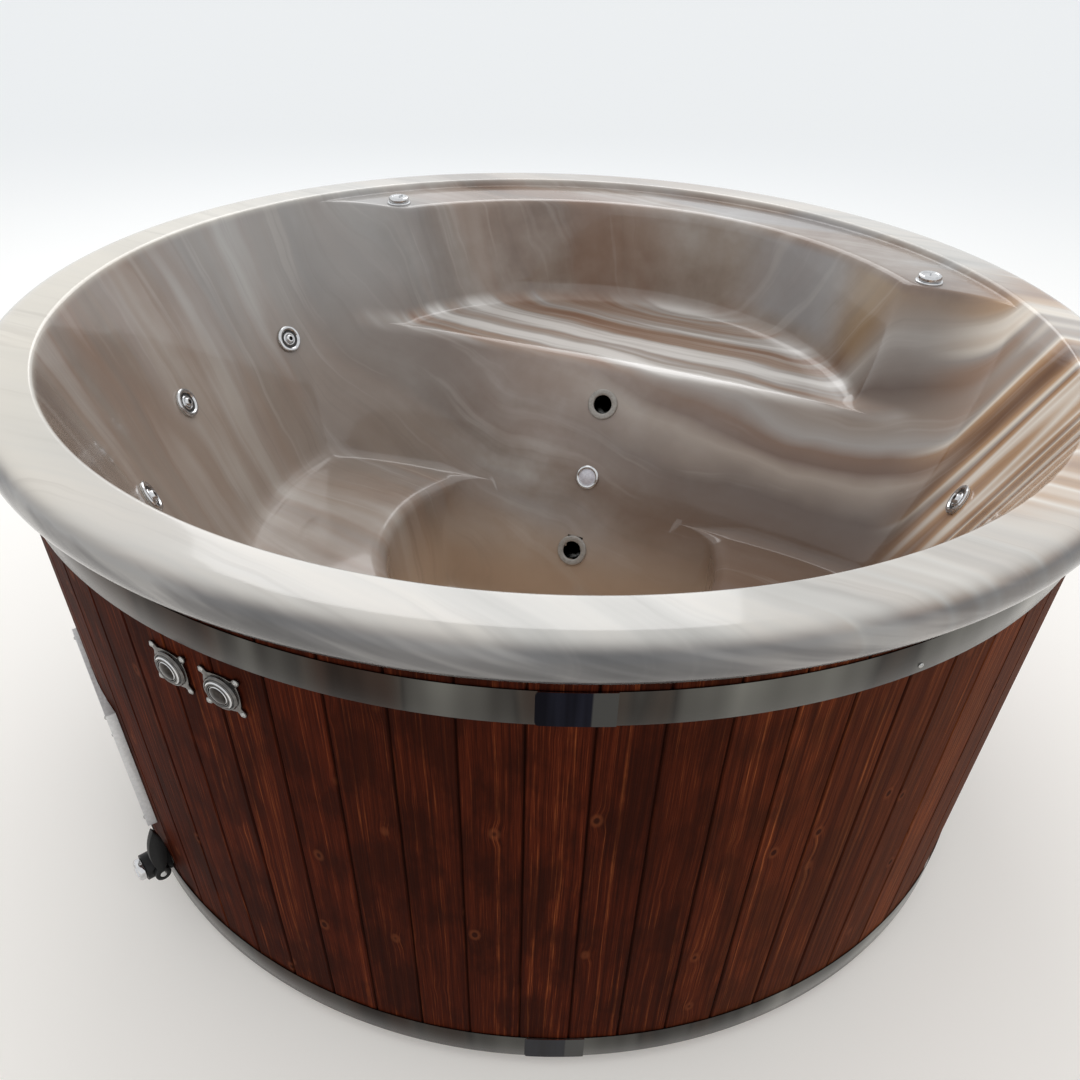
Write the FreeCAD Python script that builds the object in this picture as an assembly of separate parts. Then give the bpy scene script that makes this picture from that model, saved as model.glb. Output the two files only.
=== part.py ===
import FreeCAD, Part
import math
import os
from FreeCAD import Placement, Rotation, Vector

# Hot tub: a moulded shell in a round wooden cladding. Millimetres, floor at z = 0, tub axis on Z.
# Azimuths are in degrees from +X, anticlockwise from above.

# Rim and bathing shell
SHELL_WALL = 6.0
RIM_Z = 963.0
RIM_INNER_R = 900.0
RIM_EDGE_R = 10.0
RIM_FLAT_WIDTH = 62.0
RIM_ROLL_R = 34.0
RIM_LIP_DROP = 22.0
RIM_CUFF = 13.0
BACKREST_SLOPE = 0.488
SEAT_Z = 430.0
SEAT_BACK_R = 60.0
SEAT_EDGE_R = 35.0
FOOTWELL_R = 350.0
FOOTWELL_SLOPE = 0.10
FLOOR_Z = 150.0
FLOOR_EDGE_R = 40.0

# Raised seat block: u runs from the tub axis along BLOCK_AZIMUTH
BLOCK_AZIMUTH = 68.5
SHELF_DROP = 15.0
SHELF_EDGE_R = 20.0
FACE_SLOPE = 0.52
FACE_FOOT_U = 120.0
FACE_KNEE_Z = 290.3
FACE_KNEE_R = 120.0
RAISED_SEAT_Z = 712.0
RAISED_EDGE_R = 45.0
RECESS_SEAT_U = 168.0
RECESS_SHELF_U = 25.0
RECESS_SHELF_GAP = 168.0
RECESS_LEAN = 175.0
RECESS_EDGE_R = 50.0
BLOCK_REACH = 1100.0

# Cladding
STAVE_COUNT = 72
STAVE_FIRST_AZIMUTH = -2.0
STAVE_GROUPS = ("right", "back", "left", "front")
STAVE_BOTTOM_Z = 30.0
STAVE_INSET = 3.7
STAVE_SLOPE = 0.0687
STAVE_THICK = 28.0
STAVE_CHAMFER = 3.0
STAVE_GAP = 0.4
CLADDING_SKIN = 1.2
HOOP_THICK = 1.5
HOOP_WIDTH = 55.0
UPPER_HOOP_DROP = 152.0
LOWER_HOOP_Z = 31.0
HOOP_LAP_AZIMUTH = -91.4
HOOP_LAP_LENGTH = 95.0
HOOP_LAP_CORNER_R = 8.0
HOOP_SCREW_AZIMUTH = -61.5
HOOP_SCREW_COUNT = 3
HOOP_SCREW_INSET = 12.0
INSULATION_THICK = 25.0
INSULATION_DROP = 63.0

# Timber base
BEAM_HEIGHT = 52.0
BEAM_WIDTH = 70.0
BEAM_PITCH = 360.0
BEAM_END_ROOM = 20.0
BOARD_THICK = 18.0
POST_SIDE = 60.0
POST_R = 500.0
POST_AZIMUTHS = (165.0, 262.0, 300.0, 338.0)
RAISED_POST_U = 540.0
RAISED_POST_V = 230.0
BLOCK_SIDE = 80.0
BLOCK_R = 200.0
BLOCK_OFFSETS = (45.0, 135.0, 315.0)

# Jets
JET_COUNT = 8
JET_FIRST_AZIMUTH = 145.2
JET_LAST_AZIMUTH = 344.2
JET_DROP = 270.0
JET_FACE_R = 30.5
JET_FLANGE_R = 29.0
JET_FLANGE_THICK = 2.5
JET_BARREL_R = 21.0
JET_BORE_R = 15.0
JET_NUT_R = 33.0
JET_NUT_THICK = 12.0
JET_BALL_R = 11.0
JET_NOZZLE_BORE_R = 4.5
JET_FACE_EDGE = 1.8
JET_FACE_CROWN = 4.5
JET_FACE_BEVEL = 4.0
JET_NOTCHES = 6
JET_NOTCH_R = 2.5
JET_NOTCH_FLOOR = 0.8
JET_TAIL = 60.0
JET_FEED_R = 9.0
WATER_RING_R = 20.0
WATER_RING_WALL = 2.5
AIR_RING_R = 10.0
AIR_RING_WALL = 1.5
AIR_RING_RISE = 110.0
AIR_BRANCH_DEPTH = 28.0
AIR_BRANCH_R = 7.0

# Air controls on the shelf
AIR_CONTROL_INSET = 105.0
AIR_CONTROL_SETBACK = 38.3
AIR_FLANGE_R = 28.0
AIR_FLANGE_THICK = 4.0
AIR_BARREL_R = 18.0
AIR_BARREL_DROP = 80.0
AIR_KNOB_R = 24.0
AIR_KNOB_HEIGHT = 12.0
AIR_STEM_R = 11.0
AIR_STEM_DROP = 16.0
AIR_KNOB_BEVEL = 4.0
POINTER_INSET = 6.0
POINTER_WIDTH = 3.0
POINTER_PROUD = 1.5

# Lamp and heater ports in the face of the block
LAMP_Z = 480.0
LAMP_LENS_R = 19.0
LAMP_RING_R = 27.0
LAMP_RING_THICK = 6.0
LAMP_BARREL_R = 20.0
LAMP_DEPTH = 55.0
LAMP_RING_LIP = 2.0
LAMP_RING_BEVEL = 3.0
LAMP_LENS_PROUD = 1.0
HEATER_PORT_ZS = (629.0, 328.0)
HEATER_PIPE_R = 24.15
HEATER_BORE_R = 21.0
HEATER_FLANGE_R = 34.0
HEATER_FLANGE_THICK = 5.0
HEATER_ELBOW_DEPTH = 90.0
HEATER_STUB_INSET = 11.0
HEATER_SPIGOT_R = 23.8
HEATER_SPIGOT_LENGTH = 40.0
ROSE_R = 45.0
ROSE_PROUD = 4.0

# Push-buttons in the cladding
BUTTON_AZIMUTHS = (-121.7, -116.3)
BUTTON_DROP = 209.0
PLATE_SIDE = 70.0
PLATE_WAIST = 56.0
PLATE_CORNER_R = 7.0
PLATE_THICK = 3.0
PLATE_SCREW_SPACING = 56.0
BUTTON_BODY_R = 27.0
BUTTON_BODY_HEIGHT = 8.0
BUTTON_BARREL_R = 19.0
BUTTON_DEPTH = 63.0
BUTTON_CAP_R = 15.0
BUTTON_CAP_PROUD = 3.5
BUTTON_TRAVEL = 3.0
BUTTON_WELL = 12.0
BUTTON_STEP = 3.0

# Ventilation grille
VENT_ARC = 120.0
VENT_Z = 345.0
VENT_WIDTH = 260.0
VENT_HEIGHT = 270.0
VENT_BORDER = 24.0
VENT_PROUD = 8.0
VENT_BACK = 12.0
SLAT_COUNT = 9
SLAT_DEPTH = 22.0
SLAT_THICK = 2.0
SLAT_TILT = 35.0

# Drain
DRAIN_AZIMUTH = -139.5
DRAIN_Z = 108.0
STRAINER_R = 40.0
STRAINER_THICK = 4.0
STRAINER_HOLES = 8
STRAINER_HOLE_R = 4.0
STRAINER_SCREW_R = 5.0
WASTE_WALL = 8.0
WASTE_R = 32.0
WASTE_DROP = 58.0
DRAIN_PIPE_R = 17.0
DRAIN_BORE_R = 12.0
VALVE_R = 24.0
VALVE_LENGTH = 46.0
BALL_R = 15.0
BALL_BORE_R = 11.0
VALVE_STEM_R = 6.0
OUTLET_R = 20.0
OUTLET_LENGTH = 13.0
OUTLET_NECK = 2.0
OUTLET_BEVEL = 3.0
LEVER_LENGTH = 112.0
LEVER_WIDTH = 30.0
LEVER_THICK = 12.0
LEVER_HUB_R = 14.0

# Pump, suction and control box
PUMP_AZIMUTH = 200.0
PUMP_Z = 230.0
SUCTION_R = 24.0
SUCTION_BORE_R = 20.0
SUCTION_COVER_R = 48.0
SUCTION_COVER_THICK = 12.0
SUCTION_COVER_WALL = 4.0
SUCTION_HOLES = 8
SUCTION_HOLE_R = 5.0
SUCTION_HOLE_CIRCLE_R = 26.0
SUCTION_FLANGE_R = 36.0
SUCTION_FLANGE_THICK = 18.0
SUCTION_SHARE = 0.55
VOLUTE_LENGTH = 75.0
VOLUTE_R = 85.0
VOLUTE_WALL = 9.0
IMPELLER_R = 66.0
IMPELLER_THICK = 24.0
IMPELLER_BLADES = 6
IMPELLER_DISC = 5.0
IMPELLER_BLADE = 4.0
SHAFT_R = 8.0
SHAFT_GRIP = 50.0
MOTOR_R = 65.0
MOTOR_LENGTH = 215.0
OUTLET_RISE = 52.0
OUTLET_SIDE = 120.0
ELBOW_REACH = 30.0
PUMP_FOOT_WIDTH = 110.0
PUMP_FOOT_LENGTH = 170.0
CONTROL_AZIMUTH = 241.0
CONTROL_ROOM = 99.0
CONTROL_WIDTH = 150.0
CONTROL_DEPTH = 90.0
CONTROL_HEIGHT = 110.0
CONTROL_LID = 14.0
AIR_TUBE_R = 3.0
AIR_TUBE_DROP = 64.0
AIR_TUBE_LOW_Z = 300.0
AIR_TUBE_ROOM = 40.0
GLAND_AZIMUTH = 160.5
GLAND_Z = 130.0
GLAND_R = 10.0
GLAND_NUT_R = 15.0
GLAND_NUT_LENGTH = 18.0
GLAND_BORE_R = 4.5

# Fits, bends, edges and small fasteners
PIPE_BEND = 1.25
CLEARANCE = 0.3
RUNNING_FIT = 0.05
CURVE_SEAT = 0.6
HOLE_ROOM = 0.5
SCREW_R = 2.0
SCREW_HEAD_R = 4.5
SCREW_HEAD = 2.5
SCREW_LENGTH = 22.0
SCREW_ROOM = 0.1
EDGE = 1.5

# Worked-out sizes
UP = Vector(0, 0, 1)
PITCH = 360.0 / STAVE_COUNT
RIM_UNDER_Z = RIM_Z - SHELL_WALL
RIM_FLAT_R = RIM_INNER_R + RIM_FLAT_WIDTH
LIP_Z = RIM_Z - RIM_ROLL_R - RIM_LIP_DROP
POOL_TOP_Z = RIM_Z - RIM_CUFF
SHELF_Z = RIM_Z - SHELF_DROP
STAVE_TOP_R = RIM_FLAT_R - STAVE_INSET
AIR_CONTROL_R = RIM_INNER_R - AIR_CONTROL_INSET
HEATER_STUB_END = RIM_FLAT_R + RIM_ROLL_R - HEATER_STUB_INSET
RECESS_SHELF_R = RIM_INNER_R - RECESS_SHELF_GAP
RECESS_SEAT_R = RECESS_SHELF_R - RECESS_LEAN
UPPER_HOOP_Z = RIM_Z - UPPER_HOOP_DROP
INSULATION_TOP_Z = RIM_Z - INSULATION_DROP
JET_Z = RIM_Z - JET_DROP
BUTTON_Z = RIM_Z - BUTTON_DROP
BOARD_Z = BEAM_HEIGHT
BOARD_TOP_Z = BOARD_Z + BOARD_THICK
BACKREST_LEAN = math.degrees(math.atan(BACKREST_SLOPE))
FACE_LEAN = math.degrees(math.atan(FACE_SLOPE))
STAVE_LEAN = math.degrees(math.atan(STAVE_SLOPE))


def slant(slope):
    """Length of a slope over its height."""
    return math.hypot(1.0, slope)


def backrest_r(z, grow=0.0):
    return RIM_INNER_R - BACKREST_SLOPE * (RIM_Z - z) + grow * slant(BACKREST_SLOPE)


def footwell_r(z, grow=0.0):
    return FOOTWELL_R - FOOTWELL_SLOPE * (SEAT_Z - z) + grow * slant(FOOTWELL_SLOPE)


def face_u(z, grow=0.0):
    return FACE_FOOT_U + FACE_SLOPE * (z - FACE_KNEE_Z) + grow * slant(FACE_SLOPE)


def cladding_r(z):
    """Distance from the tub axis to the flat outer face of a stave."""
    return STAVE_TOP_R - STAVE_SLOPE * (RIM_UNDER_Z - z)


def lining_r(z):
    """Distance from the tub axis to the inner face of the insulation."""
    return cladding_r(z) - STAVE_THICK - CLEARANCE - INSULATION_THICK


def air_control_spread():
    """Angle from the middle of the raised seat to each air control, set back from the shelf's front edge."""
    return math.degrees(math.acos((face_u(SHELF_Z) + AIR_CONTROL_SETBACK) / AIR_CONTROL_R))


def vent_azimuth():
    """The grille sits its own distance along the cladding from the drain valve."""
    return DRAIN_AZIMUTH - math.degrees(VENT_ARC / cladding_r(VENT_Z))


def volute_start():
    """Distance from the tub axis to the pump's wet end; the spare room is shared before and behind it."""
    flange = footwell_r(PUMP_Z) + SHELL_WALL + SUCTION_FLANGE_THICK
    spare = lining_r(PUMP_Z) - flange - VOLUTE_LENGTH - MOTOR_LENGTH
    return flange + SUCTION_SHARE * spare


def control_r():
    """Distance from the tub axis to the middle of the control box."""
    return lining_r(BOARD_TOP_Z) - CONTROL_ROOM - CONTROL_DEPTH / 2.0


def polar(radius, azimuth, z):
    angle = math.radians(azimuth)
    return Vector(radius * math.cos(angle), radius * math.sin(angle), z)


def frame(origin, normal, across):
    """Placement with local Z along the normal and local X across it."""
    return Placement(origin, Rotation(across, normal.cross(across), normal, "ZXY"))


def outward_frame(radius, azimuth, z, drop=0.0):
    """Local Z points away from the tub axis, turned down by drop degrees; local Y points up."""
    out = polar(math.cos(math.radians(drop)), azimuth, -math.sin(math.radians(drop)))
    return frame(polar(radius, azimuth, z), out, polar(1.0, azimuth + 90.0, 0.0))


def jet_azimuths():
    step = (JET_LAST_AZIMUTH - JET_FIRST_AZIMUTH) / (JET_COUNT - 1)
    return [JET_FIRST_AZIMUTH + step * index for index in range(JET_COUNT)]


def jet_frame(azimuth):
    """Local Z points from the backrest into the water; local Y points down the wall."""
    into = polar(-math.cos(math.radians(BACKREST_LEAN)), azimuth, math.sin(math.radians(BACKREST_LEAN)))
    return frame(polar(backrest_r(JET_Z), azimuth, JET_Z), into, polar(1.0, azimuth + 90.0, 0.0))


def face_frame(z):
    """Local Z points from the face of the raised seat block into the water."""
    lean = math.radians(FACE_LEAN)
    into = polar(-math.cos(lean), BLOCK_AZIMUTH, math.sin(lean))
    return frame(polar(face_u(z), BLOCK_AZIMUTH, z), into, polar(1.0, BLOCK_AZIMUTH + 90.0, 0.0))


def placed(shape, placement):
    shape = shape.copy()
    shape.Placement = placement.multiply(shape.Placement)
    return shape


def bent_path(points, radii):
    """Edges through the points, with an arc of its own radius at each inner one."""
    edges = []
    start = points[0]
    for before, here, after, radius in zip(points, points[1:], points[2:], radii[1:]):
        back = (before - here).normalize()
        ahead = (after - here).normalize()
        half = back.getAngle(ahead) / 2.0
        reach = radius / math.tan(half)
        middle = (back + ahead).normalize() * (radius / math.sin(half) - radius)
        edges.append(Part.makeLine(start, here + back * reach))
        edges.append(Part.Arc(here + back * reach, here + middle, here + ahead * reach).toShape())
        start = here + ahead * reach
    edges.append(Part.makeLine(start, points[-1]))
    return edges


def rounded_chain(corners):
    """Edges through (x, z, radius) corners in the XZ plane, with each radius as an arc."""
    return bent_path([Vector(x, 0, z) for x, z, _ in corners], [radius for _, _, radius in corners])


def closed_face(edges):
    return Part.Face(Part.Wire(Part.__sortEdges__(edges)))


def polygon_face(points):
    return Part.Face(Part.makePolygon([Vector(x, 0, z) for x, z in points + points[:1]]))


def turned(points):
    """Solid of revolution about local Z from (radius, z) points."""
    return polygon_face(points).revolve(Vector(0, 0, 0), UP, 360)


def rod(radius, low, high):
    return Part.makeCylinder(radius, high - low, Vector(0, 0, low))


def tube(outer, inner, low, high):
    return rod(outer, low, high).cut(rod(inner, low, high))


def box(width, depth, low, high):
    """Upright box centred on local Z."""
    return Part.makeBox(width, depth, high - low, Vector(-width / 2.0, -depth / 2.0, low))


def bar(start, end, radius):
    return Part.makeCylinder(radius, (end - start).Length, start, end - start)


def bent_bar(points, radius, bend):
    """Round bar along a line of points, bent to one radius at each corner."""
    path = Part.Wire(bent_path(points, [bend] * len(points)))
    outline = Part.Wire(Part.makeCircle(radius, points[0], points[1] - points[0]))
    return path.makePipeShell([outline], True, False)


def hose(points, outer, inner):
    """Hollow pipe along a line of points."""
    bend = PIPE_BEND * outer
    return bent_bar(points, outer, bend).cut(bent_bar(points, inner, bend))


def cone_between(radius_at, low, high):
    return Part.makeCone(radius_at(low), radius_at(high), high - low, Vector(0, 0, low))


def cladding_core():
    """Everything inside the outer faces of the staves, for backs that sit on the cladding."""
    return cone_between(lambda z: cladding_r(z) + CLADDING_SKIN, 0.0, RIM_Z)


def save(name, shapes):
    shape = Part.makeCompound(shapes) if isinstance(shapes, list) else shapes
    shape.exportStep("parts/" + name + ".step")


def bowl(grow):
    """Water space of the round bowl, grown by a wall thickness."""
    floor = FLOOR_Z - grow
    seat = SEAT_Z - grow
    edges = rounded_chain([
        (0.0, floor, 0.0),
        (footwell_r(floor, grow), floor, FLOOR_EDGE_R + grow),
        (footwell_r(seat, grow), seat, SEAT_EDGE_R - grow),
        (backrest_r(seat, grow), seat, SEAT_BACK_R + grow),
        (backrest_r(POOL_TOP_Z, grow), POOL_TOP_Z, 0.0),
    ])
    top = Vector(0, 0, POOL_TOP_Z)
    edges.append(Part.makeLine(Vector(backrest_r(POOL_TOP_Z, grow), 0, POOL_TOP_Z), top))
    edges.append(Part.makeLine(top, Vector(0, 0, floor)))
    return closed_face(edges).revolve(Vector(0, 0, 0), UP, 360)


def block_prism(corners, bottom):
    """Part of the raised block behind a front outline, closed at the back and bottom."""
    front, top = corners[0], corners[-1]
    edges = rounded_chain(corners)
    ends = [(top[0], top[1]), (top[0], bottom), (front[0], bottom), (front[0], front[1])]
    for start, end in zip(ends, ends[1:]):
        if start != end:
            edges.append(Part.makeLine(Vector(start[0], 0, start[1]), Vector(end[0], 0, end[1])))
    prism = closed_face(edges).extrude(Vector(0, 2.0 * BLOCK_REACH, 0))
    prism.translate(Vector(0, -BLOCK_REACH, 0))
    return prism


def recess(grow):
    """Bathing space of the raised seat: a leaning round hollow that widens upwards."""
    low = RAISED_SEAT_Z - grow
    rise = SHELF_Z - RAISED_SEAT_Z
    circles = []
    for z in (low, SHELF_Z + rise):
        share = (z - RAISED_SEAT_Z) / rise
        centre = RECESS_SEAT_U + (RECESS_SHELF_U - RECESS_SEAT_U) * share
        radius = RECESS_SEAT_R + (RECESS_SHELF_R - RECESS_SEAT_R) * share + grow * slant(FACE_SLOPE)
        circles.append(Part.Wire(Part.makeCircle(radius, Vector(centre, 0, z))))
    hollow = Part.makeLoft(circles, True, True)
    foot = [edge for edge in hollow.Edges if edge.BoundBox.ZMax < low + SHELL_WALL]
    return hollow.makeFillet(RECESS_EDGE_R + grow, foot)


def raised_block(grow):
    """Raised seat block, shrunk by a wall thickness, with u along X."""
    floor = FLOOR_Z - grow
    seat = RAISED_SEAT_Z - grow
    shelf = SHELF_Z - grow
    knee_z = FACE_KNEE_Z - grow * (slant(FACE_SLOPE) - 1.0) / FACE_SLOPE
    lower = block_prism([
        (FACE_FOOT_U + grow, floor, 0.0),
        (FACE_FOOT_U + grow, knee_z, FACE_KNEE_R - grow),
        (face_u(seat, grow), seat, RAISED_EDGE_R - grow),
        (BLOCK_REACH, seat, 0.0),
    ], floor - 2.0 * SHELL_WALL)
    start = seat - 2.0 * RAISED_EDGE_R
    upper = block_prism([
        (face_u(start, grow), start, 0.0),
        (face_u(shelf, grow), shelf, SHELF_EDGE_R - grow),
        (BLOCK_REACH, shelf, 0.0),
    ], start)
    return lower.fuse(upper.cut(recess(grow)))


def pool(grow):
    """Whole water space, grown by a wall thickness."""
    block = raised_block(grow)
    block.rotate(Vector(0, 0, 0), UP, BLOCK_AZIMUTH)
    return bowl(grow).cut(block)


def rim():
    """Flat rim with its rolled outer lip."""
    start = Vector(backrest_r(POOL_TOP_Z), 0, POOL_TOP_Z)
    end = Vector(backrest_r(POOL_TOP_Z, SHELL_WALL), 0, POOL_TOP_Z)
    roll_z = RIM_Z - RIM_ROLL_R

    def roll(radius):
        diagonal = radius * math.sqrt(0.5)
        lip = math.sqrt(radius ** 2 - (roll_z - LIP_Z) ** 2)
        return Part.Arc(
            Vector(RIM_FLAT_R, 0, roll_z + radius),
            Vector(RIM_FLAT_R + diagonal, 0, roll_z + diagonal),
            Vector(RIM_FLAT_R + lip, 0, LIP_Z),
        ).toShape(), Vector(RIM_FLAT_R + lip, 0, LIP_Z)

    top = rounded_chain([
        (start.x, start.z, 0.0),
        (RIM_INNER_R, RIM_Z, RIM_EDGE_R),
        (RIM_FLAT_R, RIM_Z, 0.0),
    ])
    under = rounded_chain([
        (end.x, end.z, 0.0),
        (backrest_r(RIM_UNDER_Z, SHELL_WALL), RIM_UNDER_Z, RIM_EDGE_R / 2.0),
        (RIM_FLAT_R, RIM_UNDER_Z, 0.0),
    ])
    outer, outer_lip = roll(RIM_ROLL_R)
    inner, inner_lip = roll(RIM_ROLL_R - SHELL_WALL)
    closing = [Part.makeLine(outer_lip, inner_lip), Part.makeLine(start, end)]
    return closed_face(top + under + [outer, inner] + closing).revolve(Vector(0, 0, 0), UP, 360)


def shell_holes():
    """Holes in the shell for every fitting that passes through it."""
    deep = 4.0 * SHELL_WALL
    holes = [placed(rod(JET_BARREL_R + HOLE_ROOM, -deep, deep), jet_frame(a)) for a in jet_azimuths()]
    for side in (-1, 1):
        hole = rod(AIR_BARREL_R + HOLE_ROOM, SHELF_Z - deep, SHELF_Z + deep)
        hole.translate(polar(AIR_CONTROL_R, BLOCK_AZIMUTH + side * air_control_spread(), 0.0))
        holes.append(hole)
    holes.append(placed(rod(LAMP_BARREL_R + HOLE_ROOM, -deep, deep), face_frame(LAMP_Z)))
    for z in HEATER_PORT_ZS:
        holes.append(placed(rod(HEATER_PIPE_R + HOLE_ROOM, -deep, deep), face_frame(z)))
    wall = footwell_r(PUMP_Z)
    suction = rod(SUCTION_R + HOLE_ROOM, wall - deep, wall + deep)
    holes.append(placed(suction, outward_frame(0.0, PUMP_AZIMUTH, PUMP_Z)))
    holes.append(rod(WASTE_R + HOLE_ROOM, FLOOR_Z - deep, FLOOR_Z + deep))
    return holes


def tub_shell():
    skin = pool(SHELL_WALL).cut(pool(0.0))
    return skin.fuse(rim()).cut(shell_holes())


def stave(azimuth):
    """One tapered board with chamfered outer edges."""
    half = math.tan(math.radians(PITCH / 2.0))
    wires = []
    for z in (STAVE_BOTTOM_Z, RIM_UNDER_Z):
        outer = cladding_r(z)
        inner = outer - STAVE_THICK
        wide = outer * half - STAVE_GAP / 2.0
        narrow = inner * half - STAVE_GAP / 2.0
        outline = [
            (inner, -narrow), (inner, narrow), (outer - STAVE_CHAMFER, wide), (outer, wide - STAVE_CHAMFER),
            (outer, STAVE_CHAMFER - wide), (outer - STAVE_CHAMFER, -wide), (inner, -narrow),
        ]
        wires.append(Part.makePolygon([Vector(x, y, z) for x, y in outline]))
    board = Part.makeLoft(wires, True, True)
    board.rotate(Vector(0, 0, 0), UP, azimuth)
    return board


def button_frame(azimuth):
    return outward_frame(cladding_r(BUTTON_Z) + CLADDING_SKIN, azimuth, BUTTON_Z, STAVE_LEAN)


def vent_frame():
    return outward_frame(cladding_r(VENT_Z), vent_azimuth(), VENT_Z, STAVE_LEAN)


def corner_points(width, height):
    return [(x * width / 2.0, y * height / 2.0) for x in (-1, 1) for y in (-1, 1)]


def screw_places():
    """Placement of every screw head seat: hoop, buttons and grille."""
    places = []
    z = UPPER_HOOP_Z + HOOP_SCREW_INSET
    for index in range(HOOP_SCREW_COUNT):
        azimuth = HOOP_SCREW_AZIMUTH + index * 360.0 / HOOP_SCREW_COUNT
        radius = cladding_r(z) + CLADDING_SKIN + HOOP_THICK + CLEARANCE
        places.append(outward_frame(radius, azimuth, z, STAVE_LEAN))
    for azimuth in BUTTON_AZIMUTHS:
        for x, y in corner_points(PLATE_SCREW_SPACING, PLATE_SCREW_SPACING):
            places.append(button_frame(azimuth).multiply(Placement(Vector(x, y, PLATE_THICK), Rotation())))
    for x, y in corner_points(VENT_WIDTH - VENT_BORDER, VENT_HEIGHT - VENT_BORDER):
        places.append(vent_frame().multiply(Placement(Vector(x, y, VENT_PROUD), Rotation())))
    return places


def screw():
    """Round-headed screw, seated at local z = 0."""
    dome = Part.makeSphere(SCREW_HEAD_R, Vector(0, 0, SCREW_HEAD - SCREW_HEAD_R))
    head = rod(SCREW_HEAD_R, 0.0, SCREW_HEAD).common(dome)
    return head.fuse(rod(SCREW_R, -SCREW_LENGTH, 0.0)).removeSplitter()


def screw_hole():
    return rod(SCREW_R + SCREW_ROOM, -SCREW_LENGTH - CLEARANCE, 0.0)


def cladding_holes():
    """Holes through the cladding and the insulation behind it."""
    deep = STAVE_THICK + INSULATION_THICK
    barrel = rod(BUTTON_BARREL_R + HOLE_ROOM, -2.0 * deep, deep)
    holes = [placed(barrel, button_frame(azimuth)) for azimuth in BUTTON_AZIMUTHS]
    opening = box(VENT_WIDTH - 2.0 * VENT_BORDER, VENT_HEIGHT - 2.0 * VENT_BORDER, -2.0 * deep, deep)
    holes.append(placed(opening, vent_frame()))
    bores = [(HEATER_PIPE_R, BLOCK_AZIMUTH, heater_route(z)[-1].z) for z in HEATER_PORT_ZS]
    bores += [(DRAIN_PIPE_R, DRAIN_AZIMUTH, DRAIN_Z), (GLAND_R, GLAND_AZIMUTH, GLAND_Z)]
    for radius, azimuth, z in bores:
        reach = cladding_r(z)
        bore = rod(radius + HOLE_ROOM, reach - 2.0 * deep, reach + deep)
        holes.append(placed(bore, outward_frame(0.0, azimuth, z)))
    holes += [placed(screw_hole(), place) for place in screw_places()]
    return holes


def cut_where_met(shape, cutters):
    met = [cutter for cutter in cutters if shape.BoundBox.intersect(cutter.BoundBox)]
    return shape.cut(met) if met else shape


def staves(holes):
    per_group = STAVE_COUNT // len(STAVE_GROUPS)
    for group, name in enumerate(STAVE_GROUPS):
        boards = []
        for index in range(per_group):
            turn = (group - 0.5) * 360.0 / len(STAVE_GROUPS) + (index + 0.5) * PITCH
            boards.append(cut_where_met(stave(STAVE_FIRST_AZIMUTH + turn), holes))
        save("staves_" + name, boards)


def hoop(bottom, holes):
    """Steel band around the staves."""
    top = bottom + HOOP_WIDTH
    inner = cone_between(lambda z: cladding_r(z) + CLADDING_SKIN, bottom, top)
    outer = cone_between(lambda z: cladding_r(z) + CLADDING_SKIN + HOOP_THICK, bottom, top)
    return cut_where_met(outer.cut(inner), holes)


def hoop_lap(bottom):
    """Lapped end of a band: a second layer with rounded corners."""
    top = bottom + HOOP_WIDTH
    middle = bottom + HOOP_WIDTH / 2.0
    layer = cone_between(lambda z: cladding_r(z) + CLADDING_SKIN + 2.0 * HOOP_THICK, bottom, top)
    layer = layer.cut(cone_between(lambda z: cladding_r(z) + CLADDING_SKIN + HOOP_THICK, bottom, top))
    near = cladding_r(middle) - STAVE_THICK
    strip = Part.makeBox(HOOP_LAP_LENGTH, HOOP_WIDTH, 2.0 * STAVE_THICK, Vector(0, -HOOP_WIDTH / 2.0, near))
    upright = [edge for edge in strip.Edges if edge.BoundBox.ZLength > STAVE_THICK]
    end = [edge for edge in upright if edge.BoundBox.XMax < HOOP_LAP_CORNER_R]
    strip = strip.makeFillet(HOOP_LAP_CORNER_R, end)
    return layer.common(placed(strip, outward_frame(0.0, HOOP_LAP_AZIMUTH, middle)))


def insulation(holes):
    outer = cone_between(lambda z: lining_r(z) + INSULATION_THICK, BOARD_TOP_Z, INSULATION_TOP_Z)
    inner = cone_between(lining_r, BOARD_TOP_Z, INSULATION_TOP_Z)
    return outer.cut(inner).cut(holes)


def base_beams():
    """Bearers laid along the drain pipe."""
    reach = cladding_r(STAVE_BOTTOM_Z) - STAVE_THICK - BEAM_END_ROOM
    each_side = int((reach - BEAM_WIDTH) // BEAM_PITCH)
    beams = []
    for index in range(-each_side, each_side + 1):
        offset = index * BEAM_PITCH
        half = math.sqrt(reach ** 2 - (abs(offset) + BEAM_WIDTH / 2.0) ** 2)
        beam = box(2.0 * half, BEAM_WIDTH, 0.0, BEAM_HEIGHT)
        beam.translate(Vector(0, offset, 0))
        beam.rotate(Vector(0, 0, 0), UP, DRAIN_AZIMUTH)
        beams.append(beam)
    return beams


def base_board():
    return rod(cladding_r(BOARD_Z) - STAVE_THICK - CLEARANCE, BOARD_Z, BOARD_TOP_Z)


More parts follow.
